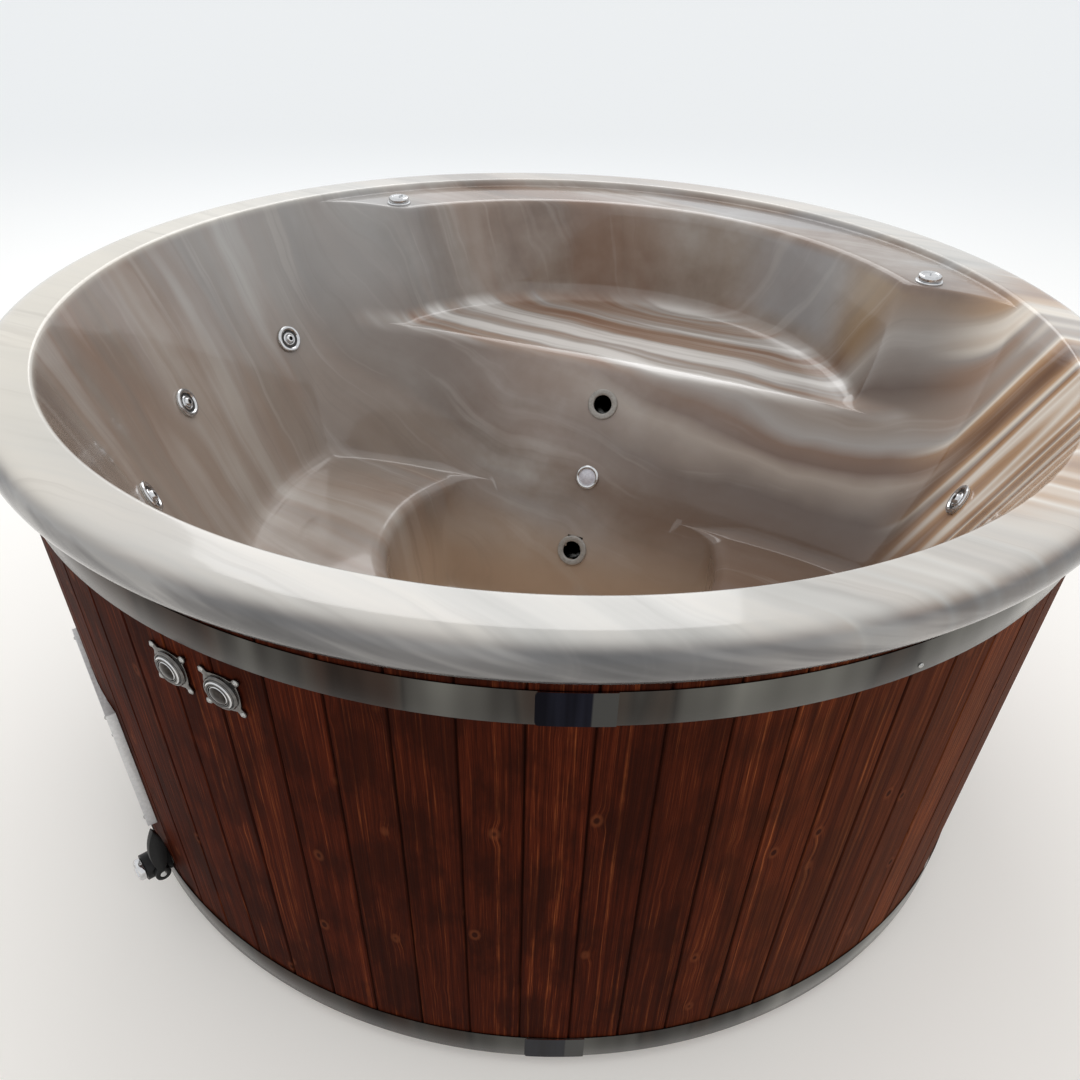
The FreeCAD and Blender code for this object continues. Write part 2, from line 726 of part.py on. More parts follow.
def support_posts():
    """Posts under both seat levels and blocks under the footwell."""
    posts = []
    for azimuth in POST_AZIMUTHS:
        post = box(POST_SIDE, POST_SIDE, BOARD_TOP_Z, SEAT_Z - SHELL_WALL)
        posts.append(placed(post, Placement(polar(POST_R, azimuth, 0.0), Rotation(UP, azimuth))))
    for side in (-1, 1):
        post = box(POST_SIDE, POST_SIDE, BOARD_TOP_Z, RAISED_SEAT_Z - SHELL_WALL)
        post.translate(Vector(RAISED_POST_U, side * RAISED_POST_V, 0))
        post.rotate(Vector(0, 0, 0), UP, BLOCK_AZIMUTH)
        posts.append(post)
    for offset in BLOCK_OFFSETS:
        azimuth = DRAIN_AZIMUTH + offset
        block = box(BLOCK_SIDE, BLOCK_SIDE, BOARD_TOP_Z, FLOOR_Z - SHELL_WALL)
        posts.append(placed(block, Placement(polar(BLOCK_R, azimuth, 0.0), Rotation(UP, azimuth))))
    return posts


def jet_body():
    """Jet body pushed through the wall from the wet side, with a stop for the ball."""
    flange = CURVE_SEAT + JET_FLANGE_THICK
    tail = WATER_RING_R + CLEARANCE - JET_TAIL
    return turned([
        (JET_BORE_R, tail), (JET_BARREL_R, tail), (JET_BARREL_R, CURVE_SEAT), (JET_FLANGE_R, CURVE_SEAT),
        (JET_FLANGE_R, flange), (JET_BORE_R, flange),
    ])


def jet_nut():
    low = -SHELL_WALL - CLEARANCE - JET_NUT_THICK
    return tube(JET_NUT_R, JET_BARREL_R + CLEARANCE, low, -SHELL_WALL - CLEARANCE)


def jet_face():
    """Turning face with finger notches and a sleeve in the body's bore."""
    seat = CURVE_SEAT + JET_FLANGE_THICK + CLEARANCE
    ball_hole = JET_BALL_R + CLEARANCE
    sleeve = JET_BORE_R - CLEARANCE
    rim_top = seat + JET_FACE_EDGE
    crown = seat + JET_FACE_CROWN
    face = turned([
        (ball_hole, seat - JET_BALL_R), (sleeve, seat - JET_BALL_R), (sleeve, seat), (JET_FACE_R, seat),
        (JET_FACE_R, rim_top), (JET_FACE_R - JET_FACE_BEVEL, crown), (sleeve + JET_FACE_BEVEL, crown),
        (ball_hole, rim_top),
    ])
    notches = []
    for index in range(JET_NOTCHES):
        notch = rod(JET_NOTCH_R, seat + JET_NOTCH_FLOOR, crown + JET_NOTCH_R)
        notch.translate(polar(JET_FACE_R, 360.0 * index / JET_NOTCHES, 0.0))
        notches.append(notch)
    return face.cut(notches)


def jet_nozzle():
    """Swivelling ball with a through bore."""
    centre = CURVE_SEAT + JET_FLANGE_THICK + CLEARANCE
    flat = JET_BALL_R * math.sqrt(0.5)
    ball = Part.makeSphere(JET_BALL_R, Vector(0, 0, centre))
    ball = ball.common(rod(JET_BALL_R, centre - flat, centre + flat))
    return ball.cut(rod(JET_NOZZLE_BORE_R, centre - JET_BALL_R, centre + JET_BALL_R))


def ring_arc(place, thickness, first, last):
    """Round bar bent about the tub axis between two azimuths, through the point place (radius, z)."""
    face = Part.Face(Part.Wire(Part.makeCircle(thickness, Vector(place[0], 0, place[1]), Vector(0, 1, 0))))
    arc = face.revolve(Vector(0, 0, 0), UP, last - first)
    arc.rotate(Vector(0, 0, 0), UP, first)
    return arc


def jet_section(along, depth):
    """(radius, z) of a point up the wall from a jet and behind its wet face."""
    lean = math.radians(BACKREST_LEAN)
    radius = backrest_r(JET_Z) + along * math.sin(lean) + depth * math.cos(lean)
    return radius, JET_Z + along * math.cos(lean) - depth * math.sin(lean)


def water_ring():
    """Feed pipe behind the jets, with a feed hole at each one and an inlet from the pump."""
    radius, z = jet_section(0.0, JET_TAIL)
    stop = math.degrees(2.0 * WATER_RING_R / radius)
    bore_r = WATER_RING_R - WATER_RING_WALL
    low, high = (polar(radius, pressure_azimuth(), height) for height in (z - JET_TAIL, z))
    ring = ring_arc((radius, z), WATER_RING_R, JET_FIRST_AZIMUTH - stop, JET_LAST_AZIMUTH + stop)
    bore = ring_arc((radius, z), bore_r, JET_FIRST_AZIMUTH - stop / 2.0, JET_LAST_AZIMUTH + stop / 2.0)
    feeds = [placed(rod(JET_FEED_R, -JET_TAIL, 0.0), jet_frame(azimuth)) for azimuth in jet_azimuths()]
    ring = ring.fuse(bar(low, high, WATER_RING_R - CLEARANCE))
    return ring.cut([bore, bar(low, high, bore_r - CLEARANCE)] + feeds)


def air_ring():
    """Air pipe above the jets, from one air control round to the other."""
    place = jet_section(AIR_RING_RISE, AIR_BRANCH_DEPTH)
    first = BLOCK_AZIMUTH + air_control_spread()
    last = BLOCK_AZIMUTH + 360.0 - air_control_spread()
    ring = ring_arc(place, AIR_RING_R, first, last)
    branches = []
    for azimuth in jet_azimuths():
        radius, z = jet_section(JET_BARREL_R + CLEARANCE, AIR_BRANCH_DEPTH)
        branches.append(bar(polar(radius, azimuth, z), polar(place[0], azimuth, place[1]), AIR_BRANCH_R))
    for azimuth in (first, last):
        top = polar(AIR_CONTROL_R, azimuth, SHELF_Z - AIR_BARREL_DROP - CLEARANCE)
        end = polar(place[0], azimuth, place[1])
        branches.append(bar(top, end, AIR_BRANCH_R))
        branches.append(Part.makeSphere(AIR_RING_R + AIR_RING_WALL, end))
    bore = ring_arc(place, AIR_RING_R - AIR_RING_WALL, first, last)
    return ring.fuse(branches).cut(bore)


def air_base():
    """Chrome flange and barrel of an air control."""
    return turned([
        (AIR_STEM_R + CLEARANCE, -AIR_BARREL_DROP), (AIR_BARREL_R, -AIR_BARREL_DROP), (AIR_BARREL_R, 0.0),
        (AIR_FLANGE_R, 0.0), (AIR_FLANGE_R, AIR_FLANGE_THICK - EDGE), (AIR_FLANGE_R - EDGE, AIR_FLANGE_THICK),
        (AIR_STEM_R + CLEARANCE, AIR_FLANGE_THICK),
    ])


def air_knob():
    """Turning cap with a pointer rib."""
    low = AIR_FLANGE_THICK + CLEARANCE
    high = low + AIR_KNOB_HEIGHT
    cap = turned([
        (0.0, -AIR_STEM_DROP), (AIR_STEM_R, -AIR_STEM_DROP), (AIR_STEM_R, low), (AIR_KNOB_R, low),
        (AIR_KNOB_R, high - AIR_KNOB_BEVEL), (AIR_KNOB_R - AIR_KNOB_BEVEL, high), (0.0, high),
    ])
    pointer = box(AIR_KNOB_R - POINTER_INSET, POINTER_WIDTH, high - POINTER_PROUD, high + POINTER_PROUD)
    pointer.translate(Vector(AIR_KNOB_R / 2.0, 0, 0))
    return cap.fuse(pointer)


def lamp_parts():
    """Lamp body through the face, chrome ring and domed lens."""
    flange = LAMP_RING_THICK / 2.0
    lens_room = LAMP_LENS_R + CLEARANCE
    seat = LAMP_RING_R - LAMP_RING_LIP
    body = rod(LAMP_BARREL_R, -LAMP_DEPTH, 0.0).fuse(rod(seat, 0.0, flange))
    ring = turned([
        (lens_room, flange), (seat, flange), (seat, 0.0), (LAMP_RING_R, 0.0),
        (LAMP_RING_R, LAMP_RING_THICK - LAMP_RING_LIP), (LAMP_RING_R - LAMP_RING_BEVEL, LAMP_RING_THICK),
        (lens_room, LAMP_RING_THICK),
    ])
    dome_r = 2.0 * LAMP_LENS_R
    dome = Part.makeSphere(dome_r, Vector(0, 0, LAMP_RING_THICK + LAMP_LENS_PROUD - dome_r))
    lens = rod(LAMP_LENS_R, flange, 2.0 * LAMP_RING_THICK).common(dome)
    return body, ring, lens


def heater_port():
    return turned([
        (HEATER_BORE_R, 0.0), (HEATER_FLANGE_R, 0.0), (HEATER_FLANGE_R, HEATER_FLANGE_THICK - EDGE),
        (HEATER_FLANGE_R - EDGE, HEATER_FLANGE_THICK), (HEATER_PIPE_R, HEATER_FLANGE_THICK),
        (HEATER_BORE_R, HEATER_FLANGE_THICK - EDGE),
    ])


def heater_route(z):
    """Route of a heater pipe: square to the face, then level out through the back."""
    lean = math.radians(FACE_LEAN)
    elbow_u = face_u(z) + HEATER_ELBOW_DEPTH * math.cos(lean)
    elbow_z = z - HEATER_ELBOW_DEPTH * math.sin(lean)
    ends = [(face_u(z), z), (elbow_u, elbow_z), (HEATER_STUB_END, elbow_z)]
    return [polar(u, BLOCK_AZIMUTH, height) for u, height in ends]


def heater_pipe(z):
    """Heater pipe with its outer end turned down for a hose."""
    route = heater_route(z)
    start = HEATER_STUB_END - HEATER_SPIGOT_LENGTH
    skim = tube(HEATER_PIPE_R + CLEARANCE, HEATER_SPIGOT_R, start, HEATER_STUB_END + CLEARANCE)
    pipe = hose(route, HEATER_PIPE_R, HEATER_BORE_R)
    return pipe.cut(placed(skim, outward_frame(0.0, BLOCK_AZIMUTH, route[-1].z)))


def cover_rose(inner, outer, azimuth, z, core):
    """Ring round a pipe with its back shaped to the cladding."""
    face = cladding_r(z) + CLADDING_SKIN + ROSE_PROUD
    rose = tube(outer, inner + CLEARANCE, face - 2.0 * ROSE_PROUD - outer * STAVE_SLOPE, face)
    return placed(rose, outward_frame(0.0, azimuth, z)).cut(core)


def button_plate():
    """Square plate with hollow sides, so that its corners stand out as ears."""
    plate = box(PLATE_SIDE, PLATE_SIDE, 0.0, PLATE_THICK)
    upright = [edge for edge in plate.Edges if edge.BoundBox.ZLength > PLATE_THICK / 2.0]
    plate = plate.makeFillet(PLATE_CORNER_R, upright)
    depth = (PLATE_SIDE - PLATE_WAIST) / 2.0
    hollow_r = ((PLATE_SCREW_SPACING / 2.0) ** 2 + depth ** 2) / (2.0 * depth)
    cutters = [rod(BUTTON_BARREL_R + CLEARANCE, 0.0, PLATE_THICK)]
    for x, y in ((1, 0), (0, 1), (-1, 0), (0, -1)):
        hollow = rod(hollow_r, 0.0, PLATE_THICK)
        hollow.translate(Vector(x, y, 0) * (PLATE_WAIST / 2.0 + hollow_r))
        cutters.append(hollow)
    for x, y in corner_points(PLATE_SCREW_SPACING, PLATE_SCREW_SPACING):
        hole = rod(SCREW_R + SCREW_ROOM, 0.0, PLATE_THICK)
        hole.translate(Vector(x, y, 0))
        cutters.append(hole)
    return plate.cut(cutters)


def button_body():
    """Stepped ring on the plate and the bellows barrel behind it."""
    low = PLATE_THICK
    high = low + BUTTON_BODY_HEIGHT
    inner = BUTTON_BODY_R - (BUTTON_BODY_R - BUTTON_CAP_R) / 3.0
    well = BUTTON_CAP_R + CLEARANCE
    return turned([
        (0.0, -BUTTON_DEPTH), (BUTTON_BARREL_R, -BUTTON_DEPTH), (BUTTON_BARREL_R, low), (BUTTON_BODY_R, low),
        (BUTTON_BODY_R, low + EDGE), (BUTTON_BODY_R - EDGE, high - BUTTON_STEP), (inner, high - BUTTON_STEP),
        (inner, high - EDGE), (inner - EDGE, high), (well, high),
        (well, high - BUTTON_WELL), (0.0, high - BUTTON_WELL),
    ])


def button_cap():
    """Domed cap that is pressed in by BUTTON_TRAVEL."""
    body_top = PLATE_THICK + BUTTON_BODY_HEIGHT
    low = body_top - BUTTON_WELL + BUTTON_TRAVEL + CLEARANCE
    high = body_top + BUTTON_CAP_PROUD
    dome_r = 2.0 * BUTTON_CAP_R
    dome = Part.makeSphere(dome_r, Vector(0, 0, high - dome_r))
    return rod(BUTTON_CAP_R, low, high).common(dome)


def vent_grille(core):
    """Bordered grille of sloping slats with its back shaped to the cladding."""
    inside = (VENT_WIDTH - 2.0 * VENT_BORDER, VENT_HEIGHT - 2.0 * VENT_BORDER)
    border = box(VENT_WIDTH, VENT_HEIGHT, -VENT_BACK, VENT_PROUD)
    border = border.cut(box(inside[0], inside[1], -VENT_BACK, VENT_PROUD))
    border = border.cut([placed(screw_hole(), Placement(Vector(x, y, VENT_PROUD), Rotation()))
                         for x, y in corner_points(VENT_WIDTH - VENT_BORDER, VENT_HEIGHT - VENT_BORDER)])
    border = placed(border, vent_frame()).cut(core)
    pitch = inside[1] / SLAT_COUNT
    slats = []
    for index in range(SLAT_COUNT):
        slat = box(inside[0], SLAT_THICK, -SLAT_DEPTH / 2.0, SLAT_DEPTH / 2.0)
        height = (index + 0.5) * pitch - inside[1] / 2.0
        tilt = Placement(Vector(0, height, 0), Rotation(Vector(1, 0, 0), SLAT_TILT))
        slats.append(placed(slat, vent_frame().multiply(tilt)))
    slab = placed(box(VENT_WIDTH, VENT_HEIGHT, -VENT_BACK, VENT_PROUD - SLAT_THICK), vent_frame())
    return border.fuse([slat.common(slab) for slat in slats])


def drain_strainer():
    disc = rod(STRAINER_R, 0.0, STRAINER_THICK).fuse(rod(WASTE_R - WASTE_WALL, -SHELL_WALL, 0.0))
    holes = [rod(STRAINER_SCREW_R, -2.0 * SHELL_WALL, STRAINER_THICK)]
    for index in range(STRAINER_HOLES):
        hole = rod(STRAINER_HOLE_R, -2.0 * SHELL_WALL, STRAINER_THICK)
        hole.translate(polar(WASTE_R / 2.0, 360.0 * index / STRAINER_HOLES, 0.0))
        holes.append(hole)
    strainer = disc.cut(holes)
    strainer.translate(Vector(0, 0, FLOOR_Z))
    return strainer


def drain_pipe():
    """Waste cup under the floor and the level pipe to the valve."""
    low = FLOOR_Z - SHELL_WALL - WASTE_DROP
    cup = rod(WASTE_R, low, FLOOR_Z)
    end = cladding_r(DRAIN_Z) + CLADDING_SKIN + CLEARANCE
    pipe = placed(rod(DRAIN_PIPE_R, 0.0, end), outward_frame(0.0, DRAIN_AZIMUTH, DRAIN_Z))
    bore = placed(rod(DRAIN_BORE_R, 0.0, end), outward_frame(0.0, DRAIN_AZIMUTH, DRAIN_Z))
    inside = rod(WASTE_R - WASTE_WALL + CLEARANCE, low + SHELL_WALL, FLOOR_Z)
    return cup.fuse(pipe).cut([bore, inside])


def valve_frame():
    """Local Z points out of the drain, local Y up; the origin is the middle of the ball."""
    start = cladding_r(DRAIN_Z) + CLADDING_SKIN + 2.0 * CLEARANCE
    return outward_frame(start + VALVE_LENGTH / 2.0, DRAIN_AZIMUTH, DRAIN_Z)


def across(shape):
    """Turn a shape built on local Z so that it lies along local X."""
    return placed(shape, Placement(Vector(0, 0, 0), Rotation(Vector(0, 1, 0), 90)))


def valve_body():
    half = VALVE_LENGTH / 2.0
    body = rod(VALVE_R, -half, half).cut(rod(DRAIN_BORE_R, -half, half))
    body = body.cut(Part.makeSphere(BALL_R + CLEARANCE))
    return placed(body.cut(across(rod(VALVE_STEM_R + RUNNING_FIT, 0.0, 2.0 * VALVE_R))), valve_frame())


def valve_outlet():
    half = VALVE_LENGTH / 2.0
    end = half + OUTLET_LENGTH
    spout = turned([
        (DRAIN_BORE_R, half), (OUTLET_R - OUTLET_NECK, half), (OUTLET_R, half + OUTLET_NECK),
        (OUTLET_R, end - OUTLET_BEVEL), (OUTLET_R - OUTLET_BEVEL, end), (DRAIN_BORE_R, end),
    ])
    return placed(spout, valve_frame())


def valve_ball():
    """Bored ball and stem; shut while the lever stands upright."""
    stem = across(rod(VALVE_STEM_R, BALL_R / 2.0, VALVE_R + LEVER_THICK))
    ball = Part.makeSphere(BALL_R).fuse(stem)
    bore = placed(rod(BALL_BORE_R, -BALL_R, BALL_R), Placement(Vector(), Rotation(Vector(1, 0, 0), 90)))
    return placed(ball.cut(bore), valve_frame())


def valve_lever():
    """Leaf-shaped lever on the side of the valve, upright when shut."""
    start = VALVE_R + CLEARANCE
    bulge = LEVER_WIDTH / 2.0
    middle = LEVER_LENGTH / 2.0
    tip = Vector(0, LEVER_LENGTH, 0)
    sides = [Part.Arc(Vector(0, 0, 0), Vector(side * bulge, middle, 0), tip).toShape() for side in (-1, 1)]
    leaf = Part.Face(Part.Wire(sides)).extrude(Vector(0, 0, LEVER_THICK))
    hub = rod(LEVER_HUB_R, 0.0, LEVER_THICK)
    lever = leaf.fuse(hub).cut(rod(VALVE_STEM_R, 0.0, LEVER_THICK))
    lever.translate(Vector(0, 0, start))
    return placed(across(lever), valve_frame())


def pump_line(radius_from_axis):
    """Frame on the pump's axis, local Z away from the tub axis."""
    return outward_frame(radius_from_axis, PUMP_AZIMUTH, PUMP_Z)


def suction_parts(shell):
    """Slotted cover on the wet side and the flanged pipe behind it."""
    wall = footwell_r(PUMP_Z)
    front = wall - SUCTION_COVER_THICK
    cover = rod(SUCTION_COVER_R, front, wall + SHELL_WALL)
    cover = cover.cut(rod(SUCTION_COVER_R - SUCTION_COVER_WALL, front + SUCTION_COVER_WALL, wall + SHELL_WALL))
    slots = []
    for index in range(SUCTION_HOLES):
        slot = rod(SUCTION_HOLE_R, front, wall)
        slot.translate(polar(SUCTION_HOLE_CIRCLE_R, 360.0 * index / SUCTION_HOLES, 0.0))
        slots.append(slot)
    cover = placed(cover.cut(slots), pump_line(0.0)).common(pool(0.0))
    pipe = tube(SUCTION_R, SUCTION_BORE_R, wall, volute_start())
    back = wall + SHELL_WALL
    flange = tube(SUCTION_FLANGE_R, SUCTION_R, back, back + SUCTION_FLANGE_THICK)
    fitting = placed(pipe.fuse(flange), pump_line(0.0)).cut(shell)
    return cover, fitting


def pump_volute():
    """Wet end with an inlet on the axis and an outlet to the side."""
    hollow = rod(VOLUTE_R - VOLUTE_WALL, VOLUTE_WALL, VOLUTE_LENGTH - VOLUTE_WALL)
    start = Vector(0, OUTLET_RISE, VOLUTE_LENGTH / 2.0)
    end = Vector(OUTLET_SIDE, OUTLET_RISE, VOLUTE_LENGTH / 2.0)
    bore = bar(start, end, WATER_RING_R - WATER_RING_WALL)
    body = rod(VOLUTE_R, 0.0, VOLUTE_LENGTH).fuse(bar(start, end, WATER_RING_R))
    inlet = rod(SUCTION_BORE_R, 0.0, VOLUTE_WALL)
    shaft_hole = rod(SHAFT_R + RUNNING_FIT, VOLUTE_LENGTH / 2.0, VOLUTE_LENGTH)
    return placed(body.cut([hollow, bore, inlet, shaft_hole]), pump_line(volute_start()))


def pump_impeller():
    low = (VOLUTE_LENGTH - IMPELLER_THICK) / 2.0
    high = low + IMPELLER_THICK
    plate = rod(IMPELLER_R, high - IMPELLER_DISC, high)
    wheel = plate.fuse(rod(SHAFT_R, low, VOLUTE_LENGTH + SHAFT_GRIP))
    blades = []
    for index in range(IMPELLER_BLADES):
        blade = box(IMPELLER_R - 2.0 * SHAFT_R, IMPELLER_BLADE, low, high - IMPELLER_DISC / 2.0)
        blade.translate(Vector((IMPELLER_R + SHAFT_R) / 2.0, 0, 0))
        blade.rotate(Vector(0, 0, 0), UP, 360.0 * index / IMPELLER_BLADES)
        blades.append(blade)
    return placed(wheel.fuse(blades), pump_line(volute_start()))


def pump_motor():
    case = rod(MOTOR_R, 0.0, MOTOR_LENGTH)
    terminals = box(MOTOR_R, MOTOR_R, -MOTOR_R / 2.0, MOTOR_R / 2.0)
    terminals.translate(Vector(0, MOTOR_R, MOTOR_LENGTH / 2.0))
    bearing = rod(SHAFT_R + RUNNING_FIT, 0.0, SHAFT_GRIP + CLEARANCE)
    return placed(case.fuse(terminals).cut(bearing), pump_line(volute_start() + VOLUTE_LENGTH))


def pump_bed():
    """Timber bed under the pump motor."""
    low = BOARD_TOP_Z - PUMP_Z
    corner = Vector(-PUMP_FOOT_WIDTH / 2.0, low, SHAFT_GRIP / 2.0)
    foot = Part.makeBox(PUMP_FOOT_WIDTH, -MOTOR_R / 2.0 - low, PUMP_FOOT_LENGTH, corner)
    return placed(foot.cut(rod(MOTOR_R, 0.0, MOTOR_LENGTH)), pump_line(volute_start() + VOLUTE_LENGTH))


def pressure_azimuth():
    radius = jet_section(0.0, JET_TAIL)[0]
    return PUMP_AZIMUTH + math.degrees(math.asin((OUTLET_SIDE + ELBOW_REACH) / radius))


def pressure_pipe():
    """Pipe from the pump's side outlet along the motor and up to the water ring."""
    radius, ring_z = jet_section(0.0, JET_TAIL)
    base = pump_line(volute_start())
    side = OUTLET_SIDE + ELBOW_REACH
    along = math.sqrt(radius ** 2 - side ** 2) - volute_start()
    local = [
        Vector(OUTLET_SIDE + CLEARANCE, OUTLET_RISE, VOLUTE_LENGTH / 2.0),
        Vector(side, OUTLET_RISE, VOLUTE_LENGTH / 2.0),
        Vector(side, OUTLET_RISE, along),
        Vector(side, ring_z - JET_TAIL - CLEARANCE - PUMP_Z, along),
    ]
    return hose([base.multVec(point) for point in local], WATER_RING_R, WATER_RING_R - WATER_RING_WALL)


def control_parts():
    """Control box on the base board and its lid."""
    split = CONTROL_HEIGHT - CONTROL_LID
    place = Placement(polar(control_r(), CONTROL_AZIMUTH, BOARD_TOP_Z), Rotation(UP, CONTROL_AZIMUTH + 90.0))
    case = box(CONTROL_WIDTH, CONTROL_DEPTH, 0.0, split)
    lid = box(CONTROL_WIDTH, CONTROL_DEPTH, split, CONTROL_HEIGHT)
    return [placed(case, place), placed(lid, place)]


def air_tubes():
    """Thin tubes from the two buttons down to the control box."""
    tubes = []
    top = BOARD_TOP_Z + CONTROL_HEIGHT + CLEARANCE
    low_r = lining_r(AIR_TUBE_LOW_Z) - AIR_TUBE_ROOM
    for azimuth in BUTTON_AZIMUTHS:
        back = button_frame(azimuth).multVec(Vector(0, 0, -BUTTON_DEPTH - CLEARANCE))
        start = math.hypot(back.x, back.y)
        inside = start - 4.0 * AIR_TUBE_R
        side = CONTROL_AZIMUTH - 360.0 + (azimuth - sum(BUTTON_AZIMUTHS) / 2.0)
        tubes.append(bent_bar([
            back, polar(inside, azimuth, back.z), polar(inside, azimuth, BUTTON_Z - AIR_TUBE_DROP),
            polar(low_r, azimuth, AIR_TUBE_LOW_Z), polar(control_r(), side, top + 4.0 * AIR_TUBE_R),
            polar(control_r(), side, top),
        ], AIR_TUBE_R, PIPE_BEND * AIR_TUBE_R))
    return tubes


def cable_gland(core):
    """Nut and threaded barrel for the supply cable, with its flange on the cladding."""
    face = cladding_r(GLAND_Z) + CLADDING_SKIN
    barrel = rod(GLAND_R, face - STAVE_THICK - INSULATION_THICK, face + ROSE_PROUD)
    nut = rod(GLAND_NUT_R, face + ROSE_PROUD, face + GLAND_NUT_LENGTH)
    bore = rod(GLAND_BORE_R, 0.0, face + GLAND_NUT_LENGTH)
    gland = placed(barrel.fuse(nut).cut(bore), outward_frame(0.0, GLAND_AZIMUTH, GLAND_Z))
    return [gland, cover_rose(GLAND_R, GLAND_NUT_R + ROSE_PROUD, GLAND_AZIMUTH, GLAND_Z, core)]


os.makedirs("parts", exist_ok=True)

core = cladding_core()
holes = cladding_holes()
shell = tub_shell()
save("tub_shell", shell)
staves(holes)
save("upper_hoop", hoop(UPPER_HOOP_Z, holes).fuse(hoop_lap(UPPER_HOOP_Z)))
save("lower_hoop", hoop(LOWER_HOOP_Z, holes).fuse(hoop_lap(LOWER_HOOP_Z)))
save("insulation_wrap", insulation(holes))
save("base_beams", base_beams())
save("base_board", base_board())
save("support_posts", support_posts() + [pump_bed()])

save("screws", [placed(screw(), place) for place in screw_places()])

save("jet_bodies", [placed(piece, jet_frame(a)) for a in jet_azimuths() for piece in (jet_body(), jet_nut())])
for number, azimuth in enumerate(jet_azimuths(), start=1):
    save("jet_face_%d" % number, placed(jet_face(), jet_frame(azimuth)))
    save("jet_nozzle_%d" % number, placed(jet_nozzle(), jet_frame(azimuth)))
save("water_ring", water_ring())
save("air_ring", air_ring())

air_places = {}
for name, side in (("left", 1), ("right", -1)):
    spot = polar(AIR_CONTROL_R, BLOCK_AZIMUTH + side * air_control_spread(), SHELF_Z)
    air_places[name] = Placement(spot, Rotation(UP, BLOCK_AZIMUTH))
    save("air_knob_" + name, placed(air_knob(), air_places[name]))
save("air_control_bases", [placed(air_base(), place) for place in air_places.values()])

for name, piece in zip(("lamp_body", "lamp_ring", "lamp_lens"), lamp_parts()):
    save(name, placed(piece, face_frame(LAMP_Z)))
save("heater_ports", [placed(heater_port(), face_frame(z)) for z in HEATER_PORT_ZS])
save("heater_pipes", [heater_pipe(z) for z in HEATER_PORT_ZS])
save("heater_roses", [
    cover_rose(HEATER_PIPE_R, ROSE_R, BLOCK_AZIMUTH, heater_route(z)[-1].z, core) for z in HEATER_PORT_ZS
])

save("button_plates", [placed(button_plate(), button_frame(azimuth)) for azimuth in BUTTON_AZIMUTHS])
save("button_bodies", [placed(button_body(), button_frame(azimuth)) for azimuth in BUTTON_AZIMUTHS])
for number, azimuth in enumerate(BUTTON_AZIMUTHS, start=1):
    save("button_cap_%d" % number, placed(button_cap(), button_frame(azimuth)))
save("vent_grille", vent_grille(core))

save("drain_strainer", drain_strainer())
save("drain_pipe", drain_pipe())
save("drain_valve_body", valve_body())
save("drain_outlet", valve_outlet())
save("drain_valve_ball", valve_ball())
save("drain_lever", valve_lever())

cover, fitting = suction_parts(shell)
save("suction_cover", cover)
save("suction_fitting", fitting)
save("pump_volute", pump_volute())
save("pump_impeller", pump_impeller())
save("pump_motor", pump_motor())
save("pressure_pipe", pressure_pipe())
save("control_box", control_parts())
save("air_tubes", air_tubes())
save("cable_gland", cable_gland(core))
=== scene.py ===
import math

import bmesh
import bpy
from mathutils import Matrix, Vector


